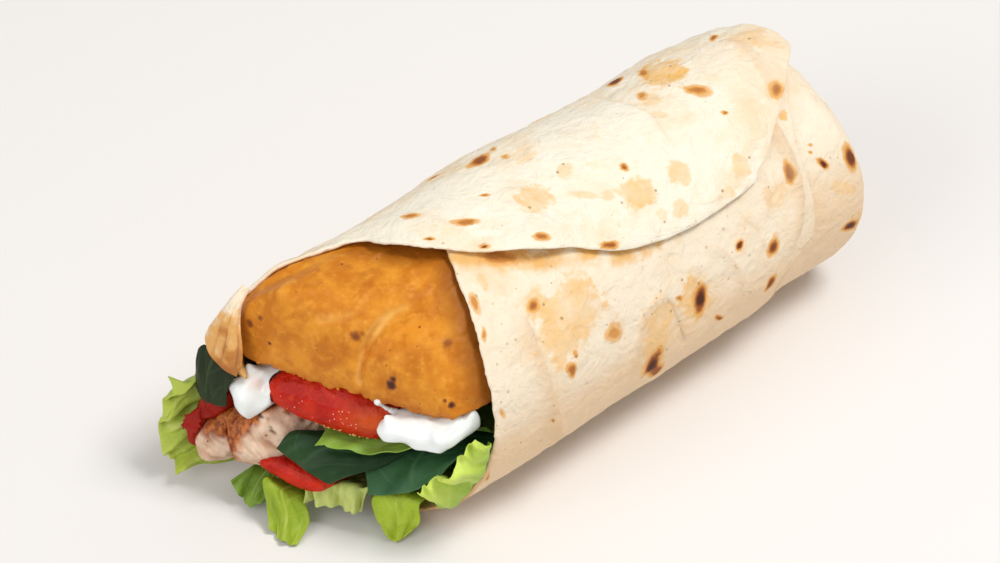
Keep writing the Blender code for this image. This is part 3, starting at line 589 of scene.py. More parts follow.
print("behind the mouth's near side the wall is", wall_at(np.array([[60.0, -20.0, AXIS_HEIGHT]])).round(2),
      "mm from the axis")

# %% A finer copy of a solid
def smooth(piece, rounds):
    """Even out a piece's surface, a little more with each round."""
    apply_modifier(piece, "SMOOTH", factor=0.5, iterations=rounds)


def finer_copy(node, name, square, rounds):
    """A copy of a solid remeshed into squares of that many millimetres, its facets smoothed."""
    piece = bpy.data.objects.new(name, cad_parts[node].data.copy())
    piece.data.name = name
    bpy.context.scene.collection.objects.link(piece)
    weld(piece, 0.001)
    apply_modifier(piece, "REMESH", mode="VOXEL", voxel_size=square * MM)
    before = read_points(piece)
    smooth(piece, rounds)
    after = read_points(piece)
    write_points(piece, before - after)     # smoothing shrinks, so what it took is smoothed as well
    smooth(piece, rounds // 2)
    write_points(piece, after + read_points(piece))
    return piece


def refine(piece, low, high):
    """Split the faces whose middle lies between two corners, in the roll's millimetres."""
    select_only(piece)
    centres = read_rows(piece.data.polygons, "center") / MM - ORIGIN
    inside = np.all((centres > low) & (centres < high), axis=1)
    bpy.ops.object.mode_set(mode="EDIT")
    bpy.ops.mesh.select_mode(type="FACE")
    bpy.ops.mesh.select_all(action="DESELECT")
    bpy.ops.object.mode_set(mode="OBJECT")
    piece.data.polygons.foreach_set("select", inside)
    bpy.ops.object.mode_set(mode="EDIT")
    bpy.ops.mesh.subdivide(number_cuts=1)
    bpy.ops.mesh.select_mode(type="VERT")
    bpy.ops.object.mode_set(mode="OBJECT")


def push(piece, height):
    """Move each vertex outward by a height in millimetres."""
    outward = read_rows(piece.data.vertices, "normal")
    write_points(piece, read_points(piece) + outward * height[:, None])


print(len(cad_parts), "solids to dress")

# %% [markdown]
# ### The crisp fillet
# It fills the top half of the mouth: a thick slab in a smooth golden crust with fine pores, two
# folds in its nose and a crumbly lower edge. Only the nose shows, so only the nose is split finer.
# %% The fillet's crust
fillet = finer_copy("golden_fillet", "fillet_crust", 0.72, 12)
refine(fillet, (-5, -40, 30), (46, 40, 70))
smooth(fillet, 3)
FOLDS = [  # (depth, width, points (x, y, z))
    (1.1, 1.0, [(29.0, -8.4, 58.6), (25.8, -6.1, 57.9), (22.4, -4.5, 56.8), (19.5, -3.5, 55.0),
                (17.0, -2.8, 52.1), (15.4, -2.6, 48.4), (14.0, -3.1, 45.0), (12.8, -3.7, 41.5)]),
    (0.4, 0.7, [(24.1, -3.7, 59.8), (21.9, -1.9, 59.6), (19.3, -0.5, 58.8), (15.8, 1.4, 56.9),
                 (13.1, 3.4, 55.4), (10.3, 7.0, 54.1)])]


def gap_to(points, line):
    """Each point's distance to a line through a few places."""
    nearest = np.full(len(points), 1e9)
    for start, stop in zip(np.array(line, float), np.array(line[1:], float)):
        step = stop - start
        share = np.clip((points - start) @ step / max(step @ step, 1e-9), 0, 1)
        nearest = np.minimum(nearest, np.linalg.norm(points - start - share[:, None] * step, axis=1))
    return nearest


print("fillet with", len(fillet.data.vertices), "vertices and", len(FOLDS), "folds")

# %% Press the fillet against the bread
p = read_points(fillet)
radius = np.maximum(np.hypot(p[:, 1], p[:, 2] - AXIS_HEIGHT), 1e-6)
wall = wall_at(p) - LAYER_STEP * ramp(404, 430, turn_of(p))
room = np.clip(wall + 0.2 - radius, -9.0, 7.0) * ramp(0.60, 0.84, radius / wall)
room *= (1 - ramp(0, 6, ahead_of_mouth(p))) * (1 - ramp(30, 44, p[:, 0]))
room *= ramp(36, 44, p[:, 2]) * ramp(-20, -6, p[:, 1])
p[:, 1] *= 1 + room / radius
p[:, 2] += (p[:, 2] - AXIS_HEIGHT) * room / radius
write_points(fillet, p)
print("it was filled out by up to", round(float(room.max()), 1), "mm")

# %% The crust's relief and its two folds
nose = 1 - ramp(40, 46, p[:, 0])
height = nose * layered_noise(p, (0.35, 7, 1), (0.22, 2.6, 2), (0.10, 1.1, 3))
lower_edge = nose * (1 - ramp(37.0, 40.5, p[:, 2]))
height += lower_edge * (0.15 + layered_noise(p, (0.55, 1.7, 4), (0.3, 0.8, 5)))
# A painted highlight runs along one side of each fold.
fold_highlight = np.zeros(len(p))
for depth, width, line in FOLDS:
    gap = gap_to(p, line)
    faded = np.minimum(1, gap_to(p, [line[0], line[0]]) / 6)
    left = gap_to(p + (0, 0.8, 0), line) > gap
    height -= faded * depth * np.exp(-(gap / width) ** 2)
    bank = np.where(left, 0.30 * np.exp(-((gap - 2.0) / 1.6) ** 2), 0.9 * np.exp(-gap / 5))
    height += faded * depth * bank
    fold_highlight = np.maximum(fold_highlight, faded * depth * left * np.exp(-((gap - 0.9) / 0.55) ** 2))
push(fillet, height + 0.14)
# Painted shadow: the crust is darkened beside the near rim and under the flap's edge, where the bread
# shades it.
angle = turn_of(p) % 360
beside_rim = (1 - ramp(0.5, 7.0, ahead_of_mouth(p))) * ramp(64, 84, turn_of(p)) * ramp(260, 200, turn_of(p))
flap_reach = smooth_curve(MOUTH_EDGE, np.clip(angle + 360, 400, 500)) - p[:, 0]
under_flap = (1 - ramp(0.5, 5.5, flap_reach)) * ramp(44, 66, angle) * ramp(140, 120, angle)
store(fillet, pale=fold_highlight, crumbly=lower_edge, shade=np.maximum(beside_rim, 0.8 * under_flap))
print("its relief runs from", round(float(height.min()), 2), "to", round(float(height.max()), 2), "mm")

# %% Scorch marks and specks on the crust
CRUST_MARKS = [  # (x, y, z, radius, strength)
    (16.0, -10.4, 43.0, 1.4, 0.95), (16.3, -10.6, 44.6, 0.9, 0.8), (20.3, -2.3, 58.2, 1.5, 0.4),
    (14.3, -0.5, 51.8, 1.5, 0.5), (15.4, -1.2, 52.6, 1.0, 0.4), (36.0, -10.0, 57.2, 1.3, 0.45),
    (33.8, -14.1, 54.8, 0.6, 0.7),
    (25.5, -9.4, 53.4, 0.4, 0.6), (27.7, -16.2, 52.2, 1.9, 0.35), (22.6, -23.1, 41.3, 0.9, 1.0),
    (21.6, -21.8, 42.2, 0.6, 0.8), (2.4, 21.9, 47.8, 1.1, 0.55), (3.6, 19.4, 50.3, 0.9, 0.45),
    (3.7, 16.8, 44.4, 0.5, 0.9), (9.7, 14.2, 58.1, 0.35, 0.5), (22.9, 13.8, 58.3, 0.5, 0.5),
    (6.2, 10.0, 47.0, 0.3, 0.7), (12.0, 2.0, 47.0, 0.35, 0.5), (24.0, -17.0, 47.0, 0.35, 0.7),
    (19.0, -15.5, 41.0, 0.5, 0.6), (25.5, -25.0, 42.5, 0.6, 0.7), (30.0, -20.0, 50.0, 0.4, 0.5)]
spots = np.zeros(len(p))
ragged = 0.3 * noise_at(p, 0.9, 6)
for mx, my, mz, radius, strength in CRUST_MARKS:
    away = np.linalg.norm(p - (mx, my, mz), axis=1) / radius + ragged
    spots = np.maximum(spots, strength * np.clip(1.25 - away, 0, 1))
store(fillet, toast=spots)
print("fillet with", len(CRUST_MARKS), "marks")

# %% [markdown]
# ### Tomato
# A cut tomato is smooth skin with a wet film, so it gets only broad, low dents. The piece at the far
# left is smeared with sauce, so it is rougher. The wedge turns orange toward its lower near end.
# %% Tomato slices
tomatoes = {}
for node, name, square in (("tomato_upper", "tomato_wedge", 0.5), ("tomato_lower", "tomato_slice", 0.5),
                           ("tomato_left", "tomato_saucy", 0.42)):
    tomato = finer_copy(node, name, square, 26)
    q = read_points(tomato)
    rough = 0.35 if node == "tomato_left" else 0.12
    push(tomato, 0.1 + layered_noise(q, (0.3, 6, 1), (rough, 2.2, 2), (0.09, 1.3, 5)))
    tomatoes[node] = tomato
wedge = tomatoes["tomato_upper"]
q = read_points(wedge)
q[:, 2] -= 1.3 * ramp(31, 27, q[:, 2]) * ramp(21, 14, q[:, 0])
write_points(wedge, q)
store(wedge, orange=ramp(2, -9, q[:, 1]) * bump(31.5, 2.6, q[:, 2]), saucy=0.0)
store(tomatoes["tomato_lower"], orange=0.0, saucy=0.0)
store(tomatoes["tomato_left"], orange=0.0, saucy=1.0)
print(len(tomatoes), "pieces of tomato")

# %% [markdown]
# ### Grilled strips
# Grilled meat tears along its fibres, which makes long ridges. So the noise is stretched: it changes
# quickly across the fibres and slowly along them. Each strip is browned on one side, and a few dark
# lines show where it lay on the grill.
# %% Grilled strips
ALONG_FIBRES, ACROSS_FIBRES = np.array((0.35, 0.55, 0.76)), np.array((0.2, 0.75, -0.63))
strips = {}
for node, name in (("chicken_right", "grilled_strip_front"), ("chicken_left", "grilled_strip_side")):
    strip = finer_copy(node, name, 0.36, 10)
    q = read_points(strip)
    lean, across = q @ ALONG_FIBRES, q @ ACROSS_FIBRES
    fibres = np.stack([across / 1.1, lean / 7.0, q[:, 0] / 7.0], axis=1)
    threads = noise_at(np.stack([across / 0.45, lean / 4.0, q[:, 0] / 4.0], axis=1), 1.0, 2)
    torn = 1 - 2 * np.abs(noise_at(fibres, 1.0, 1))
    push(strip, 0.5 * torn + 0.18 * threads + 0.8 * noise_at(q, 3.6, 3)
         - 0.7 * np.abs(noise_at(q, 4.0, 9)) + 0.1)
    # The fibre number is low in the grooves, where the flesh gets a painted shade.
    store(strip, fibre=0.5 + 0.5 * threads + 0.35 * torn)
    strips[node] = strip
front = strips["chicken_right"]
q = read_points(front)
browned_side = ramp(15.8, 17.8, q[:, 1] + 0.25 * (q[:, 2] - 20) + 1.5 * noise_at(q, 2.2, 4))
store(front, crust=np.maximum(browned_side, 0.8 * ramp(0.35, 0.6, noise_at(q, 2.6, 12))))
side = strips["chicken_left"]
q = read_points(side)
store(side, crust=ramp(15.4, 17.8, q[:, 2] + 1.4 * noise_at(q, 2.2, 5)))
CHAR_LINES = [  # (x, y, z) along the dark lines of the grill
    [(-0.8, 17.2, 25.0), (0.4, 14.6, 24.2)], [(-0.9, 16.4, 23.6), (0.6, 13.6, 22.6)],
    [(-0.9, 15.6, 22.2), (0.9, 12.8, 21.2)]]
for strip in strips.values():
    q = read_points(strip)
    gap = np.minimum.reduce([gap_to(q, line) for line in CHAR_LINES])
    store(strip, char=0.85 * ramp(0.75, 0.25, gap + 0.3 * noise_at(q, 0.8, 7)))
print(len(strips), "grilled strips,", len(CHAR_LINES), "dark lines")

# %% [markdown]
# ### White sauce
# Sauce is smooth all over but lumpy, and where it let go of the spoon it was drawn out into small
# soft peaks. Each peak pulls the surface round it a little way, and a last smoothing rounds them
# all. The ribbon's far end turns in under the fillet, and the dollop has a faint red stain.
# %% Sauce and its peaks
PEAKS = {  # (x, y, z, pull in x, pull in y, pull in z, width)
    "sauce_left": [
        (0.8, 21.6, 35.0, -1.0, 0.6, 3.6, 1.6), (-1.4, 22.0, 30.6, -1.8, 1.6, 0.6, 1.7),
        (-1.2, 17.6, 27.0, -1.4, 0.4, -2.2, 2.2), (1.0, 16.0, 33.5, 0.9, 1.2, -1.0, 1.8)],
    "sauce_right": [
        (26.2, -25.8, 35.6, 0.5, 0.2, 3.4, 1.5), (23.6, -23.4, 36.0, -0.4, 0.3, 2.2, 1.4),
        (13.6, -12.5, 35.2, -0.6, 1.6, 2.0, 1.5), (12.8, -13.6, 31.4, -1.4, 0.6, -0.5, 2.0),
        (16.4, -19.0, 31.8, -1.4, 0, -0.7, 2.1), (20.2, -24.0, 32.0, -1.4, 0, -0.3, 2.1),
        (14.6, -16.2, 32.0, 1.4, -0.6, 0.8, 1.2), (18.4, -21.6, 32.4, 1.4, -0.4, 0.8, 1.2)]}
STAIN = (-0.6, 17.3, 34.0)
NEAR_LIMIT = -25.0      # past this the sauce would press into the bread's near side


def close_to(points, centre, width):
    """A round bell in space: 1 at its centre, fading over its width."""
    return np.exp(-np.sum((points - centre) ** 2, axis=1) / width**2)


sauces = {}
for node, name in (("sauce_left", "sauce_dollop"), ("sauce_right", "sauce_ribbon")):
    sauce = finer_copy(node, name, 0.4, 18)
    q = read_points(sauce)
    push(sauce, layered_noise(q, (0.6, 4.5, 1), (0.5, 2.5, 2)) - 0.2)
    q = read_points(sauce)
    y = q[:, 1]
    y[:] = np.where(y < NEAR_LIMIT, NEAR_LIMIT + 0.35 * (y - NEAR_LIMIT), y)
    if node == "sauce_right":
        y += 6.0 * ramp(28.0, 30.5, q[:, 0])
    moved = sum(close_to(q, peak[:3], peak[6])[:, None] * np.array(peak[3:6]) for peak in PEAKS[node])
    write_points(sauce, q + moved)
    store(sauce, stain=close_to(q, STAIN, 1.8))
    smooth(sauce, 7)
    sauces[node] = sauce
print({node: len(peaks) for node, peaks in PEAKS.items()}, "peaks")

# %% [markdown]
# ### Drops, crumbs, juice and seeds
# The small things that nobody would draw one by one are balls at chosen spots. Balls that touch are
# remeshed, so that they melt into a drop with a thin tail, or into a crumb with no hard seams.
# Crumbs, juice and seeds are scattered on vertices of the piece they lie on, with a fixed seed, so
# that every run gives the same.
# %% Balls and where they lie
def beads(name, spots, square=0.0):
    """Small balls at (x, y, z, radius) joined into one piece; with a square size they melt together."""
    bpy.ops.object.select_all(action="DESELECT")
    made = []
    for x, y, z, radius in spots:
        place = Vector((np.array((x, y, z)) + ORIGIN) * MM)
        bpy.ops.mesh.primitive_uv_sphere_add(segments=14, ring_count=9, radius=radius * MM, location=place)
        made.append(bpy.context.object)
    for ball in made:
        ball.select_set(True)
    bpy.context.view_layer.objects.active = made[0]
    bpy.ops.object.join()
    bpy.ops.object.transform_apply(location=True, rotation=True, scale=True)
    piece = bpy.context.object
    piece.name = piece.data.name = name
    if square:
        apply_modifier(piece, "REMESH", mode="VOXEL", voxel_size=square * MM)
        smooth(piece, 8)
    return piece


def scatter_on(piece, count, low, high, radius, seed):
    """Spots (x, y, z, radius) on a piece's vertices between two corners."""
    points = read_points(piece)
    inside = points[np.all((points > low) & (points < high), axis=1)]
    chosen = inside[np.random.default_rng(seed).choice(len(inside), count, replace=False)]
    sizes = radius * np.random.default_rng(seed + 1).uniform(0.6, 1.2, count)
    return [(*spot, size) for spot, size in zip(chosen, sizes)]


SAUCE_DROP = [  # (x, y, z, radius)
    (17.0, -10.4, 33.6, 1.0), (16.3, -9.7, 34.1, 0.8), (15.6, -9.0, 34.7, 0.6), (15.2, -8.5, 35.2, 0.5),
    (14.8, -8.2, 35.8, 0.55), (14.3, -8.0, 36.5, 0.75), (13.9, -7.9, 37.1, 0.95)]
drop = beads("sauce_drop", SAUCE_DROP, 0.22)
store(drop, stain=0.0)
print("a drop of", len(SAUCE_DROP), "balls")

# %% Crumbs, juice and seeds
CRUMBS, SEEDS = 60, 26
# Drops of juice, coloured pale further down as a painted glint on the tomato.
JUICE = [  # (lowest corner, highest corner, how many)
    ((1, -8, 29.0), (10, 1, 33.5), 9), ((-1, 4, 28.5), (6, 13, 33.5), 6), ((2, -8, 27.5), (10, 0, 31.0), 6)]
crumbs = beads("crust_crumbs", scatter_on(fillet, CRUMBS, (0, -27, 36), (24, 22, 38.6), 0.36, 3), 0.16)
push(crumbs, 0.12 * noise_at(read_points(crumbs), 0.4, 2))
store(crumbs, pale=0.0, toast=0.0, shade=0.0, crumbly=0.4)
juice = beads("tomato_juice", [spot for low, high, count in JUICE
                               for spot in scatter_on(wedge, count, low, high, 0.16, 8 + count)])
seeds = beads("tomato_seeds", scatter_on(wedge, SEEDS, (2, -10, 25), (14, 9, 27.6), 0.32, 5))
print(CRUMBS, "crumbs,", sum(count for _, _, count in JUICE), "drops of juice and", SEEDS, "seeds")

# %% [markdown]
# ## Salad leaves
# A leaf is a flat grid again. It is laid through a few ribs, each with a point on its left edge, on
# its middle and on its right edge, so its course back into the roll is the solid's. The frilled
# edge of lettuce grows faster than its middle, so it has nowhere to go but up and down: waves on
# waves, which die away toward the heart of the leaf. Spinach is flat, with a strong midrib.
# %% Keeping a leaf inside the bread
def keep_inside(points):
    """Pull points that would cut the bread's wall back in front of it."""
    y, z = points[:, 1], points[:, 2] - AXIS_HEIGHT
    radius = np.maximum(np.hypot(y, z), 1e-6)
    share = np.minimum(1, (wall_at(points) - 0.7 + 1.3 * ahead_of_mouth(points)) / radius)
    return np.stack([points[:, 0], y * share, AXIS_HEIGHT + z * share], axis=1)


outside = np.array([[60.0, 0.0, AXIS_HEIGHT + 40.0]])
back_inside = keep_inside(outside)[0, 2] - AXIS_HEIGHT
print("a point 40 mm above the axis comes back to", back_inside.round(1), "mm")


# %% A sheet through ribs
def length_of(ribs):
    """The length of a ribbed sheet along its middle, and each rib's place on it."""
    middles = np.array([rib[1] for rib in ribs], float)
    places = np.concatenate([[0], np.cumsum(np.linalg.norm(np.diff(middles, axis=0), axis=1))])
    return places[-1], places


def ribbed(ribs, u, s):
    """Points of a sheet through its ribs: u goes across them, s along their middles in millimetres."""
    total, places = length_of(ribs)
    stations = [(place, *a, *m, *b) for place, (a, m, b) in zip(places, ribs)]
    row = smooth_curve(stations, s)
    a, m, b = row[:, 0:3], row[:, 3:6], row[:, 6:9]
    w = 2 * u - 1
    w = (w * (1 - 0.22 * (1 - ramp(0, min(12.0, 0.2 * total), s)) * w**2))[:, None]
    return a * (w * (w - 1) / 2) + m * (1 - w * w) + b * (w * (w + 1) / 2)


def ribbed_normal(ribs, u, s):
    """The direction straight out of a ribbed sheet."""
    du = ribbed(ribs, np.minimum(u + 0.02, 1), s) - ribbed(ribs, np.maximum(u - 0.02, 0), s)
    ds = ribbed(ribs, u, s + 0.4) - ribbed(ribs, u, s - 0.4)
    normal = np.cross(du, ds)
    return normal / np.maximum(np.linalg.norm(normal, axis=1), 1e-9)[:, None]


print("helpers for sheets through ribs are ready")

# %% A leaf's waves and its veins
LEAF_COLUMNS, LEAF_ROWS, LEAF_THICKNESS, LEAF_WIDTH = 90, 190, 0.5, 24.0
VEIN_GAP, MIDRIB_WIDTH, VEIN_WIDTH, VEIN_HEIGHT = 7.0, 0.05, 0.06, 0.14
BLISTER_HEIGHT, NOTCH_DEPTH = 0.16, 0.5
FLOOR_GAP = 0.3         # how far a leaf that reaches the floor stays above it


def leaf_waves(u, s, reach, ruffle, waves, frill, seed):
    """How far a leaf swings out of its sheet: slow ruffles, and frills near its free edge."""
    phase = waves * 2 * math.pi * u + 0.22 * s + seed
    wave = ruffle * (1 - ramp(0, 0.6 * reach, s)) * (np.sin(phase) + 0.5 * np.sin(2.3 * phase + 1.7 * seed))
    wave += frill * (1 - ramp(0, 13, s)) * flat_noise(u * 6, s / 6, 1.0, seed + 2)
    return wave + 0.45 * frill * (1 - ramp(0, 7, s)) * flat_noise(u * 6, s / 6, 0.45, seed + 3)


def leaf_veins(u, s, seed):
    """A midrib and its side branches, which wander a little, from 0 to 1."""
    wander = flat_noise(u * 5, s / 8, 1.0, seed + 5)
    side = np.abs(2 * u - 1 + 0.08 * wander)
    branch = (s / VEIN_GAP - 1.2 * side + 0.25 * wander + seed) % 1.0
    vein = 0.5 * np.exp(-(np.minimum(branch, 1 - branch) / VEIN_WIDTH) ** 2) * (1 - ramp(0.6, 1.0, side))
    return np.maximum(vein, np.exp(-(side / MIDRIB_WIDTH) ** 2)) * ramp(0, 4, s)


def make_leaf(name, ribs, ruffle, waves, seed, frill=0.0, rounded=0.0):
    """A thin leaf from its free edge (row 0) back into the roll."""
    total = length_of(ribs)[0]
    leaf, column, row = flat_sheet(name, LEAF_COLUMNS, LEAF_ROWS)
    u = column / (LEAF_COLUMNS - 1)
    s = total * (row / (LEAF_ROWS - 1)) ** 1.7
    notch = 1.3 * flat_noise(9 * u, 0 * u, 1.0, seed) + 0.7 * flat_noise(9 * u, 0 * u, 0.35, seed + 1)
    s = s + (NOTCH_DEPTH * np.maximum(0, notch) + rounded * (2 * u - 1) ** 2) * (1 - ramp(0, 14, s))
    wave = leaf_waves(u, s, min(30.0, 0.5 * total), ruffle, waves, frill, seed)
    vein = leaf_veins(u, s, seed)
    height = wave + VEIN_HEIGHT * vein + BLISTER_HEIGHT * flat_noise(u * 10, s / 3, 1.0, seed + 4)
    points = keep_inside(ribbed(ribs, u, s) + ribbed_normal(ribs, u, s) * height[:, None])
    points[:, 2] = np.maximum(points[:, 2], FLOOR_GAP + LEAF_THICKNESS / 2)
    write_points(leaf, points)
    # The troughs of the leaf's waves are kept so that they get a painted shade.
    store(leaf, vein=vein, tip=1 - ramp(0, 12, s), hollow=ramp(0, 1.2 * frill + 0.5, -wave))
    weigh_edge(leaf, np.minimum(s, (0.5 - np.abs(u - 0.5)) * LEAF_WIDTH))
    thicken(leaf, LEAF_THICKNESS, 0.35)
    return leaf


print("each leaf starts as", LEAF_COLUMNS, "by", LEAF_ROWS, "grid lines")


# %% Where the leaves run inside the roll
def lane(x, points):
    """A rib straight across the roll at x, through three (y, z) points."""
    return tuple((x, y, z) for y, z in points)


WALL = [(28.0, 25.4), (24.9, 17.6), (18.0, 9.4)]
FLOOR_FAR = [(16.5, 8.0), (10.0, 4.8), (3.0, 3.5)]
FLOOR_NEAR = [(-25.6, 19.5), (-16.7, 8.5), (-3.5, 3.6)]
BY_WALL = [(-28.2, 26.0), (-24.6, 16.0), (-16.7, 8.5)]
MIDDLE_LOW = [(-24.0, 17.0), (-12.0, 15.6), (0.5, 14.6)]
MIDDLE_HIGH = [(-26.0, 27.6), (-10.0, 24.4), (6.5, 24.2)]
UNDER_SLICE = [(-12.0, 20.6), (-4.0, 20.8), (4.0, 20.6)]
UNDER_STRIP = [(16.0, 10.4), (13.2, 8.8), (10.0, 7.6)]
LOW_MIDDLE = [(2.5, 6.2), (-3.5, 6.2), (-10.0, 7.6)]
BY_SAUCE = [(28.4, 27.4), (26.8, 27.4), (24.8, 27.0)]
print("a rib at 34 mm:", lane(34, UNDER_SLICE))

# %% The ribs of every leaf, the same as the solids have
LEAVES = {
    "lettuce_upper": dict(ruffle=0.5, waves=2.0, seed=1, frill=0.8, ribs=[
        ((25.0, -25.4, 31.2), (10.8, -10.4, 25.0), (1.2, 4.6, 24.4)),
        ((28.0, -25.0, 31.0), (14.2, -9.4, 24.9), (7.0, 6.0, 24.6)),
        lane(34, MIDDLE_HIGH), lane(70, MIDDLE_HIGH), lane(118, MIDDLE_HIGH)]),
    "spinach_mid": dict(ruffle=0.35, waves=1.5, seed=2, ribs=[
        ((5.0, -4.6, 12.6), (0.6, 4.0, 16.9), (-1.4, 11.4, 20.3)),
        ((10.0, -7.5, 15.6), (4.6, 2.6, 20.2), (2.0, 10.4, 22.6)),
        ((18, -11, 19.4), (13, -2, 21.0), (10, 5.0, 21.6)),
        lane(34, UNDER_SLICE), lane(84, UNDER_SLICE)]),
    "spinach_right": dict(ruffle=0.4, waves=1.5, seed=4, ribs=[
        ((22.5, -27.2, 28.6), (13.0, -19.0, 17.6), (7.5, -6.8, 12.2)),
        ((25.0, -26.8, 27.4), (17.8, -16.0, 19.6), (11.5, -3.0, 16.0)),
        lane(36, [(-26.0, 24.6), (-13.0, 22.2), (0.5, 18.5)]),
        lane(72, MIDDLE_LOW), lane(112, MIDDLE_LOW)]),
    "spinach_left": dict(ruffle=0.2, waves=1.0, seed=5, ribs=[
        ((-6.0, 32.6, 27.3), (-6.6, 27.4, 25.2), (-4.4, 20.8, 27.0)),
        ((-5.0, 33.0, 33.0), (-5.2, 28.4, 31.8), (-3.9, 22.0, 31.4)),
        ((-3.6, 32.2, 38.6), (-3.5, 27.6, 36.8), (-2.8, 21.8, 34.6)),
        ((-3.0, 30.2, 31.6), (-2.8, 27.2, 30.4), (-2.0, 24.0, 29.6)),
        ((-0.4, 28.4, 27.8), (-0.4, 26.6, 27.8), (-0.4, 24.2, 27.8)),
        lane(8, [(28.2, 27.8), (26.6, 28.0), (24.4, 28.0)]), lane(22, BY_SAUCE), lane(58, BY_SAUCE)]),
    "lettuce_left": dict(ruffle=1.5, waves=3.4, seed=6, frill=3.6, ribs=[
        ((-7.0, 33.0, 30.0), (-13.2, 37.6, 13.0), (-9.6, 30.2, 1.3)),
        ((-3.6, 33.2, 31.6), (-8.5, 34.0, 16.0), (-6.2, 27.4, 3.6)),
        ((4, 28.2, 26.5), (5, 25.0, 17.4), (9, 17.6, 9.4)),
        lane(24, WALL), lane(64, WALL), lane(104, WALL)]),
    "lettuce_curl": dict(ruffle=0.5, waves=1.5, seed=7, frill=0.8, ribs=[
        ((-7.6, 21.0, 9.4), (-6.8, 14.4, 1.8), (-4.8, 11.4, 5.4)),
        ((-1.5, 18.6, 8.4), (-2.5, 14.8, 6.8), (-1.2, 12.0, 7.8)),
        lane(14, UNDER_STRIP), lane(52, UNDER_STRIP)]),
    "lettuce_tongue_far": dict(ruffle=0.5, waves=1.6, seed=8, frill=0.9, rounded=1.0, ribs=[
        ((-7.4, 6.2, 0.8), (-8.0, 1.2, 0.8), (-6.4, -3.6, 0.8)),
        ((-6.2, 8.8, 5.0), (-4.2, 3.6, 3.6), (-0.4, -0.8, 2.2)),
        ((-5.0, 10.4, 11.8), (-2.6, 7.0, 8.8), (1.2, 3.0, 6.0)),
        ((1.0, 11.5, 7.6), (3.4, 8.0, 6.2), (6.5, 3.0, 4.4)),
        lane(20, FLOOR_FAR), lane(60, FLOOR_FAR), lane(104, FLOOR_FAR)]),
    "lettuce_pale": dict(ruffle=0.9, waves=2.3, seed=9, frill=2.2, ribs=[
        ((0.4, 5.2, 5.4), (4.4, -2.8, 6.0), (9.6, -9.2, 5.2)),
        ((1.8, 4.8, 11.2), (6.0, -2.0, 12.0), (10.8, -9.6, 12.4)),
        ((8.0, 4.5, 9.0), (11.5, -2.6, 9.4), (14.5, -9.4, 9.6)),
        lane(26, LOW_MIDDLE), lane(64, LOW_MIDDLE)]),
    "lettuce_tongue_near": dict(ruffle=0.5, waves=1.4, seed=10, frill=0.9, rounded=4.2, ribs=[
        ((14.0, -18.2, 0.9), (10.6, -16.2, 0.9), (10.4, -12.2, 0.9)),
        ((18.2, -17.2, 2.2), (13.6, -14.2, 3.4), (11.2, -8.4, 1.8)),
        ((17.6, -17.6, 9.4), (14.6, -13.0, 10.4), (11.6, -8.2, 8.6)),
        ((24.0, -17.0, 9.0), (21.0, -12.5, 8.6), (19.0, -7.0, 6.0)),
        lane(38, FLOOR_NEAR), lane(74, FLOOR_NEAR), lane(112, FLOOR_NEAR)]),
    "lettuce_ruffle_near": dict(ruffle=0.9, waves=2.5, seed=12, frill=2.9, ribs=[
        ((26.0, -28.8, 35.4), (18.4, -26.4, 26.0), (12.4, -19.2, 17.8)),
        ((26.2, -31.0, 33.0), (23.8, -29.8, 21.5), (18.6, -22.6, 10.4)),
        ((29.6, -29.6, 29.0), (28.4, -28.0, 17.6), (25.0, -20.6, 7.4)),
        lane(42, BY_WALL), lane(60, BY_WALL)])}
leaves = {kind: make_leaf(kind.replace("_", "_leaf_", 1), **form) for kind, form in LEAVES.items()}
print(len(leaves), "leaves")

# %% [markdown]
# ### The folded lip
# The bread's far corner is folded down over the fillet like a lip. It hangs there as a small doubled
# flap, so it is a short ribbed sheet too, with three pleats. It is browned along its folds and at
# its lower end, and its pleats get a painted shade.
# %% The folded lip
LIP = [
    ((-3.8, 31.2, 39.0), (-4.3, 25.0, 36.8), (-2.9, 19.2, 35.6)),
    ((-3.1, 29.4, 44.6), (-3.5, 25.0, 45.0), (-1.3, 20.4, 43.0)),
    ((-1.0, 28.0, 48.9), (-1.9, 25.4, 49.8), (-0.2, 22.2, 48.2)),
    ((1.6, 26.6, 52.8), (1.4, 25.4, 53.0), (1.8, 24.0, 52.6)),
    ((4.6, 26.0, 54.9), (4.7, 25.5, 54.9), (4.8, 25.0, 54.7))]
LIP_COLUMNS, LIP_ROWS, LIP_WIDTH, LIP_THICKNESS, PLEAT_DEPTH = 60, 90, 14.0, 1.2, 0.9
LIP_PLEATS = [  # (place across the lip, half width, slant, share of the depth)
    (0.52, 0.06, 0.012, 1.0), (0.86, 0.05, 0.006, 0.8), (0.30, 0.05, 0.012, 0.7)]
lip, column, row = flat_sheet("tortilla_lip", LIP_COLUMNS, LIP_ROWS)
u, s = column / (LIP_COLUMNS - 1), length_of(LIP)[0] * row / (LIP_ROWS - 1)
pleats = ramp(0, 5, s) * sum(share * bump(place, width, u - slant * s)
                             for place, width, slant, share in LIP_PLEATS)
bent = 0.5 * flat_noise(u * 3, s / 6, 1.0, 8) - PLEAT_DEPTH * pleats
write_points(lip, ribbed(LIP, u, s) + ribbed_normal(LIP, u, s) * bent[:, None])
weigh_edge(lip, np.minimum(s, (0.5 - np.abs(u - 0.5)) * LIP_WIDTH), 0.8)
browned = 0.45 + 0.55 * np.maximum(ramp(0.6, 1.0, u), 1 - ramp(0, 3.5, s))
browned = (browned + 0.35 * flat_noise(u * 9, s, 2.6, 3)) * (1 - 0.75 * ramp(9, 17, s))
# On the lip the warm tone is its browned colour, and its pleats get a painted shade.
store(lip, rim=0.0, grease=0.0, gold=1.2 * browned, gold_strength=1.0, toast_strength=0.42,
      toast=(0.35 + 0.55 * browned + 0.4 * pleats) * ramp(18, 9, s),
      warm=0.45 + 0.3 * browned, fold=np.clip(pleats, 0, 1))
thicken(lip, LIP_THICKNESS, 0.1)
print("lip with", len(LIP_PLEATS), "pleats,", round(length_of(LIP)[0], 1), "mm long")

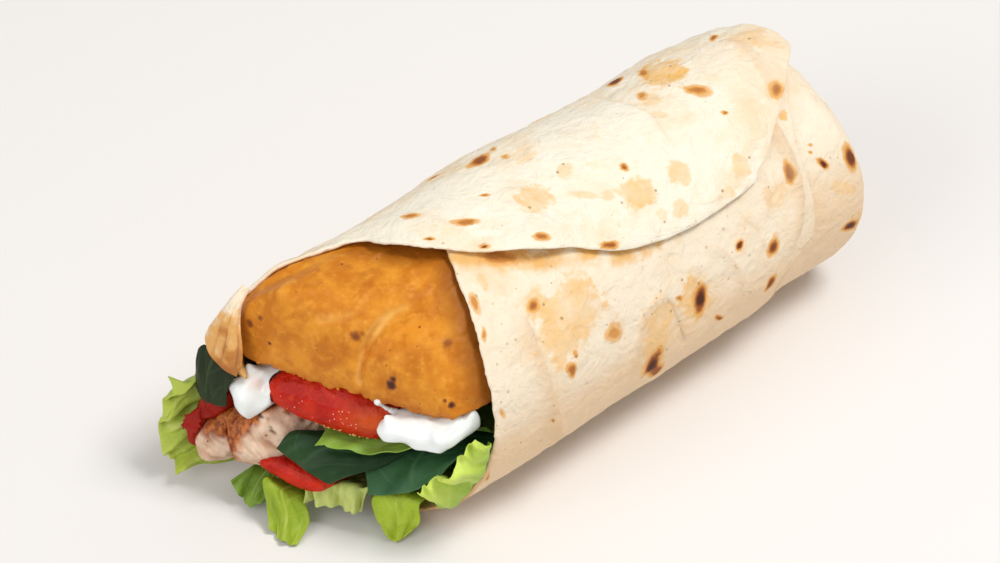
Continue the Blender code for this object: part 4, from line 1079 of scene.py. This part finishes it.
# %% [markdown]
# ## Materials
# All of them are built from nodes. Three effects come back in several materials, so each is a node
# group with named sockets: soft patches for slow changes of tint, specks for pepper, pores and
# flecks, and a fine grain that feeds a Bump node.
# %% Writing nodes in one line
def add(tree, kind, inputs=None, **settings):
    """A node with its settings, and each named input set to a value or linked to a socket."""
    made = tree.nodes.new(kind)
    for key, value in settings.items():
        setattr(made, key, value)
    for key, value in (inputs or {}).items():
        if isinstance(value, bpy.types.NodeSocket):
            tree.links.new(value, made.inputs[key])
        else:
            made.inputs[key].default_value = value
    return made


def maths(tree, operation, first, second):
    """A Math node's result."""
    return add(tree, "ShaderNodeMath", {0: first, 1: second}, operation=operation).outputs[0]


def mix(tree, share, first, second):
    """A colour between two others; plain colours are (red, green, blue)."""
    first, second = [(*c, 1.0) if isinstance(c, tuple) else c for c in (first, second)]
    return add(tree, "ShaderNodeMix", {0: share, 6: first, 7: second}, data_type="RGBA").outputs[2]


def between(tree, value, low, high):
    """A smooth 0 to 1 as a value goes from low to high."""
    return add(tree, "ShaderNodeMapRange", {0: value, 1: low, 2: high},
               interpolation_type="SMOOTHSTEP").outputs[0]


print("helpers for nodes are ready")


# %% Three shared effects
def new_group(name, inputs):
    """An empty node group with float inputs and one float output, and its end nodes."""
    tree = bpy.data.node_groups.new(name, "ShaderNodeTree")
    tree.interface.new_socket(name="Vector", in_out="INPUT", socket_type="NodeSocketVector")
    for key, value in inputs.items():
        socket = tree.interface.new_socket(name=key, in_out="INPUT", socket_type="NodeSocketFloat")
        socket.default_value = value
    tree.interface.new_socket(name="Value", in_out="OUTPUT", socket_type="NodeSocketFloat")
    return tree, tree.nodes.new("NodeGroupInput").outputs, tree.nodes.new("NodeGroupOutput")


patches, given, result = new_group("soft_patches", {"Scale": 100.0, "Low": 0.4, "High": 0.6})
cloud = add(patches, "ShaderNodeTexNoise", {"Vector": given["Vector"], "Scale": given["Scale"],
                                            "Detail": 5.0, "Roughness": 0.6})
patches.links.new(between(patches, cloud.outputs[0], given["Low"], given["High"]), result.inputs[0])

specks, given, result = new_group("specks", {"Scale": 300.0, "Size": 0.2, "Share": 0.2})
cells = add(specks, "ShaderNodeTexVoronoi", {"Vector": given["Vector"], "Scale": given["Scale"]})
dot = maths(specks, "LESS_THAN", cells.outputs["Distance"], given["Size"])
chance = add(specks, "ShaderNodeSeparateColor", {0: cells.outputs["Color"]}).outputs[0]
kept = maths(specks, "LESS_THAN", chance, given["Share"])
specks.links.new(maths(specks, "MULTIPLY", dot, kept), result.inputs[0])

fine, given, result = new_group("fine_grain", {"Scale": 800.0, "Pores": 0.3})
grains = add(fine, "ShaderNodeTexNoise", {"Vector": given["Vector"], "Scale": given["Scale"],
                                          "Detail": 6.0, "Roughness": 0.65})
pores = add(fine, "ShaderNodeTexVoronoi", {"Vector": given["Vector"], "Scale": given["Scale"]},
            feature="SMOOTH_F1")
pore_depth = maths(fine, "MULTIPLY", pores.outputs["Distance"], given["Pores"])
fine.links.new(maths(fine, "ADD", grains.outputs[0], pore_depth), result.inputs[0])
print("shared effects:", ", ".join(group.name for group in (patches, specks, fine)))


# %% [markdown]
# Each material is coloured as a cook would do it: a first colour, then others laid over it where a
# mask says so. A look keeps its colour so far, and lay() puts the next one on. Masks come from the
# shared effects, from plain noise, or from the numbers kept on the vertices. What is the same all
# over the surface is set on the shader's own sockets.
# %% A look and its layers
class Look:
    """A material being made: its nodes, its shader, and its colour so far."""

    def __init__(self, name, colour, **constants):
        self.material = bpy.data.materials.new(name)
        self.material.use_nodes = True
        self.tree = self.material.node_tree
        self.shader = self.tree.nodes["Principled BSDF"]
        for key, value in constants.items():
            self.shader.inputs[key.replace("_", " ")].default_value = value
        self.place = self.tree.nodes.new("ShaderNodeTexCoord").outputs["Object"]
        self.colour = colour

    def effect(self, group, **values):
        """One of the shared effects, with its own values."""
        made = add(self.tree, "ShaderNodeGroup", node_tree=group)
        self.tree.links.new(self.place, made.inputs["Vector"])
        for key, value in values.items():
            made.inputs[key].default_value = value
        return made.outputs[0]

    def patchy(self, scale, low, high):
        """A mask of soft patches."""
        return self.effect(patches, Scale=scale, Low=low, High=high)

    def specked(self, scale, size, share):
        """A mask of small dots, in that share of the cells they could be in."""
        return self.effect(specks, Scale=scale, Size=size, Share=share)

    def grain(self, scale, pores):
        """Heights of a fine grain with pores."""
        return self.effect(fine, Scale=scale, Pores=pores)

    def clouds(self, scale, **values):
        """Plain noise, from 0 to 1 and mostly about a half."""
        return add(self.tree, "ShaderNodeTexNoise",
                   {"Vector": self.place, "Scale": scale, **values}).outputs[0]

    def kept(self, name):
        """A number that was stored on the vertices."""
        return add(self.tree, "ShaderNodeAttribute", attribute_name=name).outputs["Fac"]

    def plus(self, first, second):
        """The sum of two values."""
        return maths(self.tree, "ADD", first, second)

    def times(self, first, second):
        """The product of two values."""
        return maths(self.tree, "MULTIPLY", first, second)

    def between(self, value, low, high):
        """A smooth 0 to 1 as a value goes from low to high."""
        return between(self.tree, value, low, high)

    def heated(self, share, stops):
        """The colour that a ColorRamp gives, from (position, colour) stops."""
        made = add(self.tree, "ShaderNodeValToRGB", {0: share})
        elements = made.color_ramp.elements
        while len(elements) < len(stops):
            elements.new(0.5)
        for element, (position, colour) in zip(elements, stops):
            element.position, element.color = position, (*colour, 1.0)
        return made.outputs[0]

    def lay(self, mask, colour, strength=1.0):
        """Lay a colour over the one so far, where the mask says and as strongly as asked."""
        if strength != 1.0:
            mask = self.times(mask, strength)
        self.colour = mix(self.tree, mask, self.colour, colour)

    def finish(self, height=None, strength=0.3, distance=0.0004):
        """Feed the shader the colour and, if heights are given, a bump."""
        self.tree.links.new(self.colour, self.shader.inputs["Base Color"])
        if height is not None:
            bumped = add(self.tree, "ShaderNodeBump", {"Strength": strength, "Distance": distance,
                                                       "Height": height})
            self.tree.links.new(bumped.outputs[0], self.shader.inputs["Normal"])


print("a look's tools:", ", ".join(name for name in vars(Look) if not name.startswith("_")))

# %% [markdown]
# ### Bread
# The bread is pale cream, with a warm painted shade on its lower side and along its creases. Noise
# breaks the edges of its golden patches and of its toast marks up, because a scorch is never a clean
# oval. The colours run from gold through orange-brown to nearly black. Small dark flecks of the
# griddle are strewn over it.
# %% The dough and its golden patches
dough = Look("toasted_tortilla", (0.895, 0.83, 0.685), Roughness=0.72, Specular_IOR_Level=0.28,
             Subsurface_Weight=0.08, Subsurface_Radius=(0.004, 0.002, 0.001))
dough.lay(dough.patchy(60.0, 0.46, 0.70), (0.865, 0.70, 0.485))
dough.lay(dough.patchy(190.0, 0.52, 0.72), (0.93, 0.87, 0.74))
# Painted shade: warmer and darker on the roll's lower side and the cup's near side; on the lip this is its
# browned tone.
dough.lay(dough.kept("warm"), (0.83, 0.60, 0.375), 0.85)
ragged = maths(dough.tree, "SUBTRACT", dough.clouds(170.0, Detail=5.0, Roughness=0.55), 0.5)
floury = dough.clouds(620.0, Detail=4.0)
broken = dough.plus(dough.plus(dough.times(ragged, 1.5), dough.times(floury, 1.2)), -0.6)
gold_edge = dough.between(dough.plus(dough.kept("gold"), broken), 0.24, 0.72)
mottle = dough.plus(dough.plus(dough.times(ragged, 1.6), dough.times(floury, 0.5)), 0.50)
dough.lay(dough.times(dough.times(gold_edge, mottle), dough.kept("gold_strength")), (0.84, 0.50, 0.16))
grease = dough.between(dough.plus(dough.kept("grease"), dough.times(ragged, 0.8)), 0.25, 0.85)
dough.lay(grease, (0.76, 0.42, 0.10), 0.85)
print("the dough has", len(dough.tree.nodes), "nodes so far")

# %% Its scorch marks, the painted shade of its folds, and flecks
near_toast = dough.times(dough.plus(dough.kept("toast"), dough.times(ragged, 1.5)),
                         dough.between(dough.kept("toast"), 0.0, 0.2))
power = dough.kept("toast_strength")
dough.lay(dough.times(dough.between(near_toast, 0.12, 0.50), dough.between(power, -0.3, 0.5)),
          (0.78, 0.42, 0.13))
heat = dough.times(dough.between(near_toast, 0.35, 1.15), power)
SCORCHED = [(0.0, (0.76, 0.40, 0.12)), (0.25, (0.60, 0.25, 0.055)), (0.5, (0.36, 0.105, 0.020)),
            (0.75, (0.16, 0.038, 0.012)), (1.0, (0.07, 0.018, 0.008))]
dough.lay(dough.between(heat, 0.04, 0.22), dough.heated(heat, SCORCHED))
# Painted shade in the bread's creases and in the pleats of the cup and the lip.
dough.lay(dough.kept("fold"), (0.72, 0.47, 0.25), 0.45)
dotted = maths(dough.tree, "MAXIMUM", dough.times(dough.patchy(48.0, 0.48, 0.60), 0.6),
               dough.between(dough.kept("gold"), 0.05, 0.4))
dough.lay(dough.times(dough.specked(460.0, 0.18, 0.24), dotted), (0.32, 0.19, 0.05), 0.65)
dough.lay(dough.kept("rim"), (0.66, 0.36, 0.12), 0.75)
dough.lay(dough.specked(620.0, 0.16, 0.05), (0.50, 0.30, 0.12), 0.4)
wrinkles = dough.clouds(210.0, Detail=3.0, Distortion=1.2)
dough.finish(dough.plus(dough.grain(420.0, 0.35), dough.times(wrinkles, 1.8)),
             strength=0.55, distance=0.0008)
for piece in (bread, cup, lip):
    finish_piece(piece, "tortilla", dough, "tortilla")

# %% [markdown]
# ### Fried crust
# The crust is amber and redder where it browned. It has a painted highlight along one side of each
# fold and a painted shadow where the bread's rim and flap shade it. Oil gives it a soft shine, so its
# roughness is lower than the bread's.
# %% The fillet's look
amber = Look("golden_crust", (0.56, 0.175, 0.008), Roughness=0.50, Specular_IOR_Level=0.22,
             Subsurface_Weight=0.12, Subsurface_Radius=(0.004, 0.0018, 0.0006))
for scale, low, high, colour in ((120.0, 0.35, 0.66, (0.74, 0.290, 0.022)),
                                 (260.0, 0.50, 0.80, (0.50, 0.145, 0.008)),
                                 (480.0, 0.50, 0.90, (0.80, 0.37, 0.045))):
    amber.lay(amber.patchy(scale, low, high), colour)
# Painted shadow of the bread's rim and flap.
amber.lay(amber.kept("shade"), (0.29, 0.085, 0.006), 0.85)
# Painted highlight along one side of each fold.
amber.lay(amber.kept("pale"), (0.82, 0.44, 0.10), 0.80)
amber.lay(amber.kept("crumbly"), (0.44, 0.12, 0.010), 0.45)
BURNT = [(0.0, (0.56, 0.20, 0.02)), (0.35, (0.32, 0.09, 0.012)), (0.8, (0.07, 0.02, 0.008))]
amber.lay(amber.between(amber.kept("toast"), 0.05, 0.35), amber.heated(amber.kept("toast"), BURNT))
amber.lay(amber.specked(520.0, 0.14, 0.08), (0.20, 0.07, 0.02), 0.6)
amber.finish(amber.grain(900.0, 0.5), strength=0.30)
finish_piece(fillet, "golden_crust", amber, "golden_fillet")
finish_piece(crumbs, "golden_crust", amber)

# %% [markdown]
# ### Wet tomato, its juice and its seeds
# Tomato is deep red with a thin coat of water, which is what makes it shine in small broken spots.
# The seeds are straw yellow. The drops of juice are smooth, and their pale pink colour is a painted glint.
# %% The tomato's looks
red = Look("wet_tomato", (0.46, 0.010, 0.003), Roughness=0.40, Specular_IOR_Level=0.10,
           Subsurface_Weight=0.08, Coat_Weight=0.16, Coat_Roughness=0.04,
           Subsurface_Radius=(0.006, 0.0012, 0.0006))
red.lay(red.patchy(160.0, 0.35, 0.7), (0.64, 0.028, 0.008))
red.lay(red.patchy(420.0, 0.55, 0.72), (0.62, 0.050, 0.012))
red.lay(red.kept("orange"), (0.60, 0.085, 0.012))
red.lay(red.kept("saucy"), (0.26, 0.010, 0.004), 0.7)
film = red.times(red.clouds(650.0, Detail=2.0), 1.5)
red.finish(red.plus(red.grain(230.0, 0.3), film), strength=0.80, distance=0.0008)
for node, tomato in tomatoes.items():
    finish_piece(tomato, "tomato", red, node)

straw = Look("tomato_seed", (0.80, 0.50, 0.14), Roughness=0.3, Specular_IOR_Level=0.5)
straw.lay(straw.patchy(500.0, 0.4, 0.6), (0.66, 0.28, 0.06))
straw.finish(straw.grain(900.0, 0.3), strength=0.2)
finish_piece(seeds, "tomato", straw)

# The drops' pale pink colour is a painted glint.
juice_glint = Look("tomato_juice_glint", (0.95, 0.55, 0.45), Roughness=0.08, Specular_IOR_Level=0.8)
juice_glint.lay(juice_glint.patchy(500.0, 0.4, 0.6), (0.85, 0.30, 0.20))
juice_glint.finish()
finish_piece(juice, "tomato", juice_glint)

# %% [markdown]
# ### Grilled strips
# The flesh is pale and pinkish, with a painted shade in the low grooves between its fibres. The
# browned side is covered in orange-brown spice, and the grill's lines are nearly black.
# %% The strips' look
flesh = Look("grilled_strip", (0.64, 0.42, 0.28), Roughness=0.48, Specular_IOR_Level=0.4,
             Subsurface_Weight=0.2, Subsurface_Radius=(0.004, 0.0015, 0.001))
flesh.lay(flesh.patchy(210.0, 0.35, 0.65), (0.82, 0.62, 0.46))
# Painted shade in the low grooves between the fibres.
flesh.lay(flesh.between(flesh.kept("fibre"), 0.70, 0.10), (0.46, 0.22, 0.12), 0.75)
spice = mix(flesh.tree, flesh.patchy(600.0, 0.4, 0.6), (0.56, 0.165, 0.030), (0.26, 0.055, 0.010))
flesh.lay(flesh.kept("crust"), spice)
flesh.lay(flesh.kept("char"), (0.085, 0.030, 0.015))
flesh.lay(flesh.specked(520.0, 0.22, 0.16), (0.20, 0.06, 0.02), 0.7)
flesh.finish(flesh.grain(900.0, 0.4), strength=0.4)
for node, strip in strips.items():
    finish_piece(strip, "chicken", flesh, node)

# %% [markdown]
# ### White sauce
# Light enters the sauce and comes out again close by, so its shadows stay soft and pale.
# %% The sauce's look
white = Look("white_sauce", (0.87, 0.92, 0.91), Roughness=0.24, Specular_IOR_Level=0.5,
             Subsurface_Weight=0.35, Subsurface_Radius=(0.003, 0.0028, 0.0025))
white.lay(white.patchy(150.0, 0.35, 0.75), (0.80, 0.83, 0.815))
white.lay(white.kept("stain"), (0.86, 0.60, 0.50), 0.5)
white.finish(white.grain(260.0, 0.2), strength=0.10)
for node, sauce in sauces.items():
    finish_piece(sauce, "sauce", white, node)
finish_piece(drop, "sauce", white)

# %% [markdown]
# ### Leaves
# Light goes through a thin leaf, which is why lettuce glows yellow-green at its edge. Here some of
# the light goes under the surface, and the tip of each leaf is darker or paler as the real one is.
# Veins are lighter than the blade between them. Spinach is tougher: darker, and hardly translucent.
# %% The colours of each leaf
LEAF_TINTS = {  # leaf: heart, blade, tip, vein
    "lettuce_upper": ((0.20, 0.34, 0.06), (0.15, 0.28, 0.035), (0.24, 0.42, 0.055), (0.36, 0.50, 0.14)),
    "lettuce_left": ((0.22, 0.30, 0.03), (0.28, 0.38, 0.028), (0.46, 0.56, 0.075), (0.56, 0.62, 0.18)),
    "lettuce_curl": ((0.06, 0.11, 0.006), (0.08, 0.17, 0.010), (0.20, 0.34, 0.035), (0.28, 0.42, 0.09)),
    "lettuce_tongue_far": (
        (0.24, 0.37, 0.015), (0.28, 0.40, 0.020), (0.34, 0.45, 0.035), (0.46, 0.55, 0.10)),
    "lettuce_pale": ((0.46, 0.54, 0.13), (0.39, 0.49, 0.09), (0.54, 0.61, 0.18), (0.62, 0.67, 0.26)),
    "lettuce_tongue_near": (
        (0.34, 0.50, 0.020), (0.40, 0.56, 0.026), (0.48, 0.61, 0.048), (0.60, 0.68, 0.15)),
    "lettuce_ruffle_near": (
        (0.18, 0.33, 0.03), (0.27, 0.46, 0.035), (0.60, 0.74, 0.12), (0.60, 0.72, 0.18)),
    "spinach_left": (
        (0.010, 0.020, 0.004), (0.014, 0.027, 0.006), (0.018, 0.033, 0.008), (0.045, 0.08, 0.025)),
    "spinach_mid": (
        (0.010, 0.036, 0.012), (0.014, 0.046, 0.015), (0.022, 0.062, 0.018), (0.05, 0.12, 0.045)),
    "spinach_right": (
        (0.022, 0.075, 0.032), (0.032, 0.10, 0.042), (0.06, 0.16, 0.070), (0.10, 0.22, 0.10))}
print("tints for", len(LEAF_TINTS), "leaves")

# %% The looks of lettuce and spinach
TENDER = {"roughness": 0.45, "gloss": 0.3, "glow": 0.18, "net": 0.30, "net_depth": -0.4}
TOUGH = {"roughness": 0.42, "gloss": 0.2, "glow": 0.05, "net": 0.08, "net_depth": -0.15}
for kind, (heart, blade, tip, vein) in LEAF_TINTS.items():
    slot = kind.split("_")[0]
    nature = TOUGH if slot == "spinach" else TENDER
    green = Look(kind + "_look", heart, Roughness=nature["roughness"], Specular_IOR_Level=nature["gloss"],
                 Subsurface_Weight=nature["glow"], Subsurface_Radius=(0.0012, 0.002, 0.0004))
    green.lay(green.patchy(120.0, 0.35, 0.65), blade)
    green.lay(green.kept("tip"), tip)
    # Painted shade in the troughs of the leaf's waves.
    green.lay(green.kept("hollow"), heart, 0.55)
    cells = add(green.tree, "ShaderNodeTexVoronoi", {"Vector": green.place, "Scale": 420.0},
                feature="DISTANCE_TO_EDGE")
    net = maths(green.tree, "SUBTRACT", 1.0, green.between(cells.outputs["Distance"], 0.0, 0.09))
    branches = maths(green.tree, "MAXIMUM", green.kept("vein"), green.times(net, nature["net"]))
    green.lay(branches, vein, 0.6)
    green.finish(green.plus(green.grain(420.0, 0.35), green.times(net, nature["net_depth"])), strength=0.28)
    node = "lettuce_tongue_near" if kind == "lettuce_ruffle_near" else kind
    finish_piece(leaves[kind], slot, green, node)

# %% [markdown]
# ## Floor, light and camera
# The wrap lies on a plain pale floor in soft studio light. The key light hangs above its near side,
# so the flap's edge draws a thin shadow and the lower side of the roll darkens. A larger, weaker
# light fills in from the mouth's side, and the pale sky of the studio lights the rest.
# %% Floor and lights
bpy.ops.object.select_all(action="DESELECT")
bpy.ops.mesh.primitive_plane_add(size=8)
floor = bpy.context.object
floor.name = "floor"
floor_look = Look("pale_floor", None, Roughness=0.9, Specular_IOR_Level=0.1,
                  Base_Color=(0.815, 0.80, 0.79, 1.0))
floor.data.materials.append(floor_look.material)
floor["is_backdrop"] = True

world = bpy.data.worlds.new("studio")
bpy.context.scene.world = world
world.use_nodes = True
sky = world.node_tree.nodes["Background"]
sky.inputs["Color"].default_value = (1.0, 0.985, 0.97, 1.0)
sky.inputs["Strength"].default_value = 0.48


def soft_light(name, place, size, power, tint):
    """A square area light that points at the wrap."""
    bpy.ops.object.select_all(action="DESELECT")
    bpy.ops.object.light_add(type="AREA", location=place)
    light = bpy.context.object
    light.name = name
    light.data.size, light.data.energy, light.data.color = size, power, tint
    light.rotation_euler = (-Vector(place)).to_track_quat("-Z", "Y").to_euler()


soft_light("key", (0.34, -0.46, 1.22), 0.42, 10.8, (1.0, 0.985, 0.96))
soft_light("fill", (-1.05, -0.05, 0.75), 0.9, 5.6, (1.0, 0.98, 0.96))
print("floor and two lights")

# %% [markdown]
# The camera looks down at 43 degrees from the mouth side through a long lens, which keeps the far
# end of the roll nearly as thick as the near one. It is placed so that one chosen point of the roll
# falls on one chosen pixel.
# %% Camera
AZIMUTH, ELEVATION, LENS, SENSOR = -42.5, 43.0, 200.0, 36.0
PIXELS_PER_MM = 4.23                        # at the aim
AIM, AIM_PIXEL = np.array((147.0, 0.0, 32.5)), (777.0, 133.0)
FRAME = (1000.0, 563.0)
az, el = math.radians(AZIMUTH), math.radians(ELEVATION)
back = np.array((math.sin(az) * math.cos(el), -math.cos(az) * math.cos(el), math.sin(el)))
right = np.array((math.cos(az), math.sin(az), 0.0))
up = np.cross(back, right)
distance = LENS / SENSOR * FRAME[0] / PIXELS_PER_MM
eye = (AIM + back * distance - right * (AIM_PIXEL[0] - FRAME[0] / 2) / PIXELS_PER_MM
       + up * (AIM_PIXEL[1] - FRAME[1] / 2) / PIXELS_PER_MM)
bpy.ops.object.camera_add(location=Vector((eye + ORIGIN) * MM))
camera = bpy.context.object
camera.rotation_euler = Vector(-back).to_track_quat("-Z", "Y").to_euler()
camera.data.lens, camera.data.sensor_width = LENS, SENSOR
camera.data.clip_start, camera.data.clip_end = 0.05, 20.0
bpy.context.scene.camera = camera
bpy.context.scene.view_settings.view_transform = "Standard"
print("camera", [round(v, 3) for v in camera.location])

# %% Sizes, and the end
low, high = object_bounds()
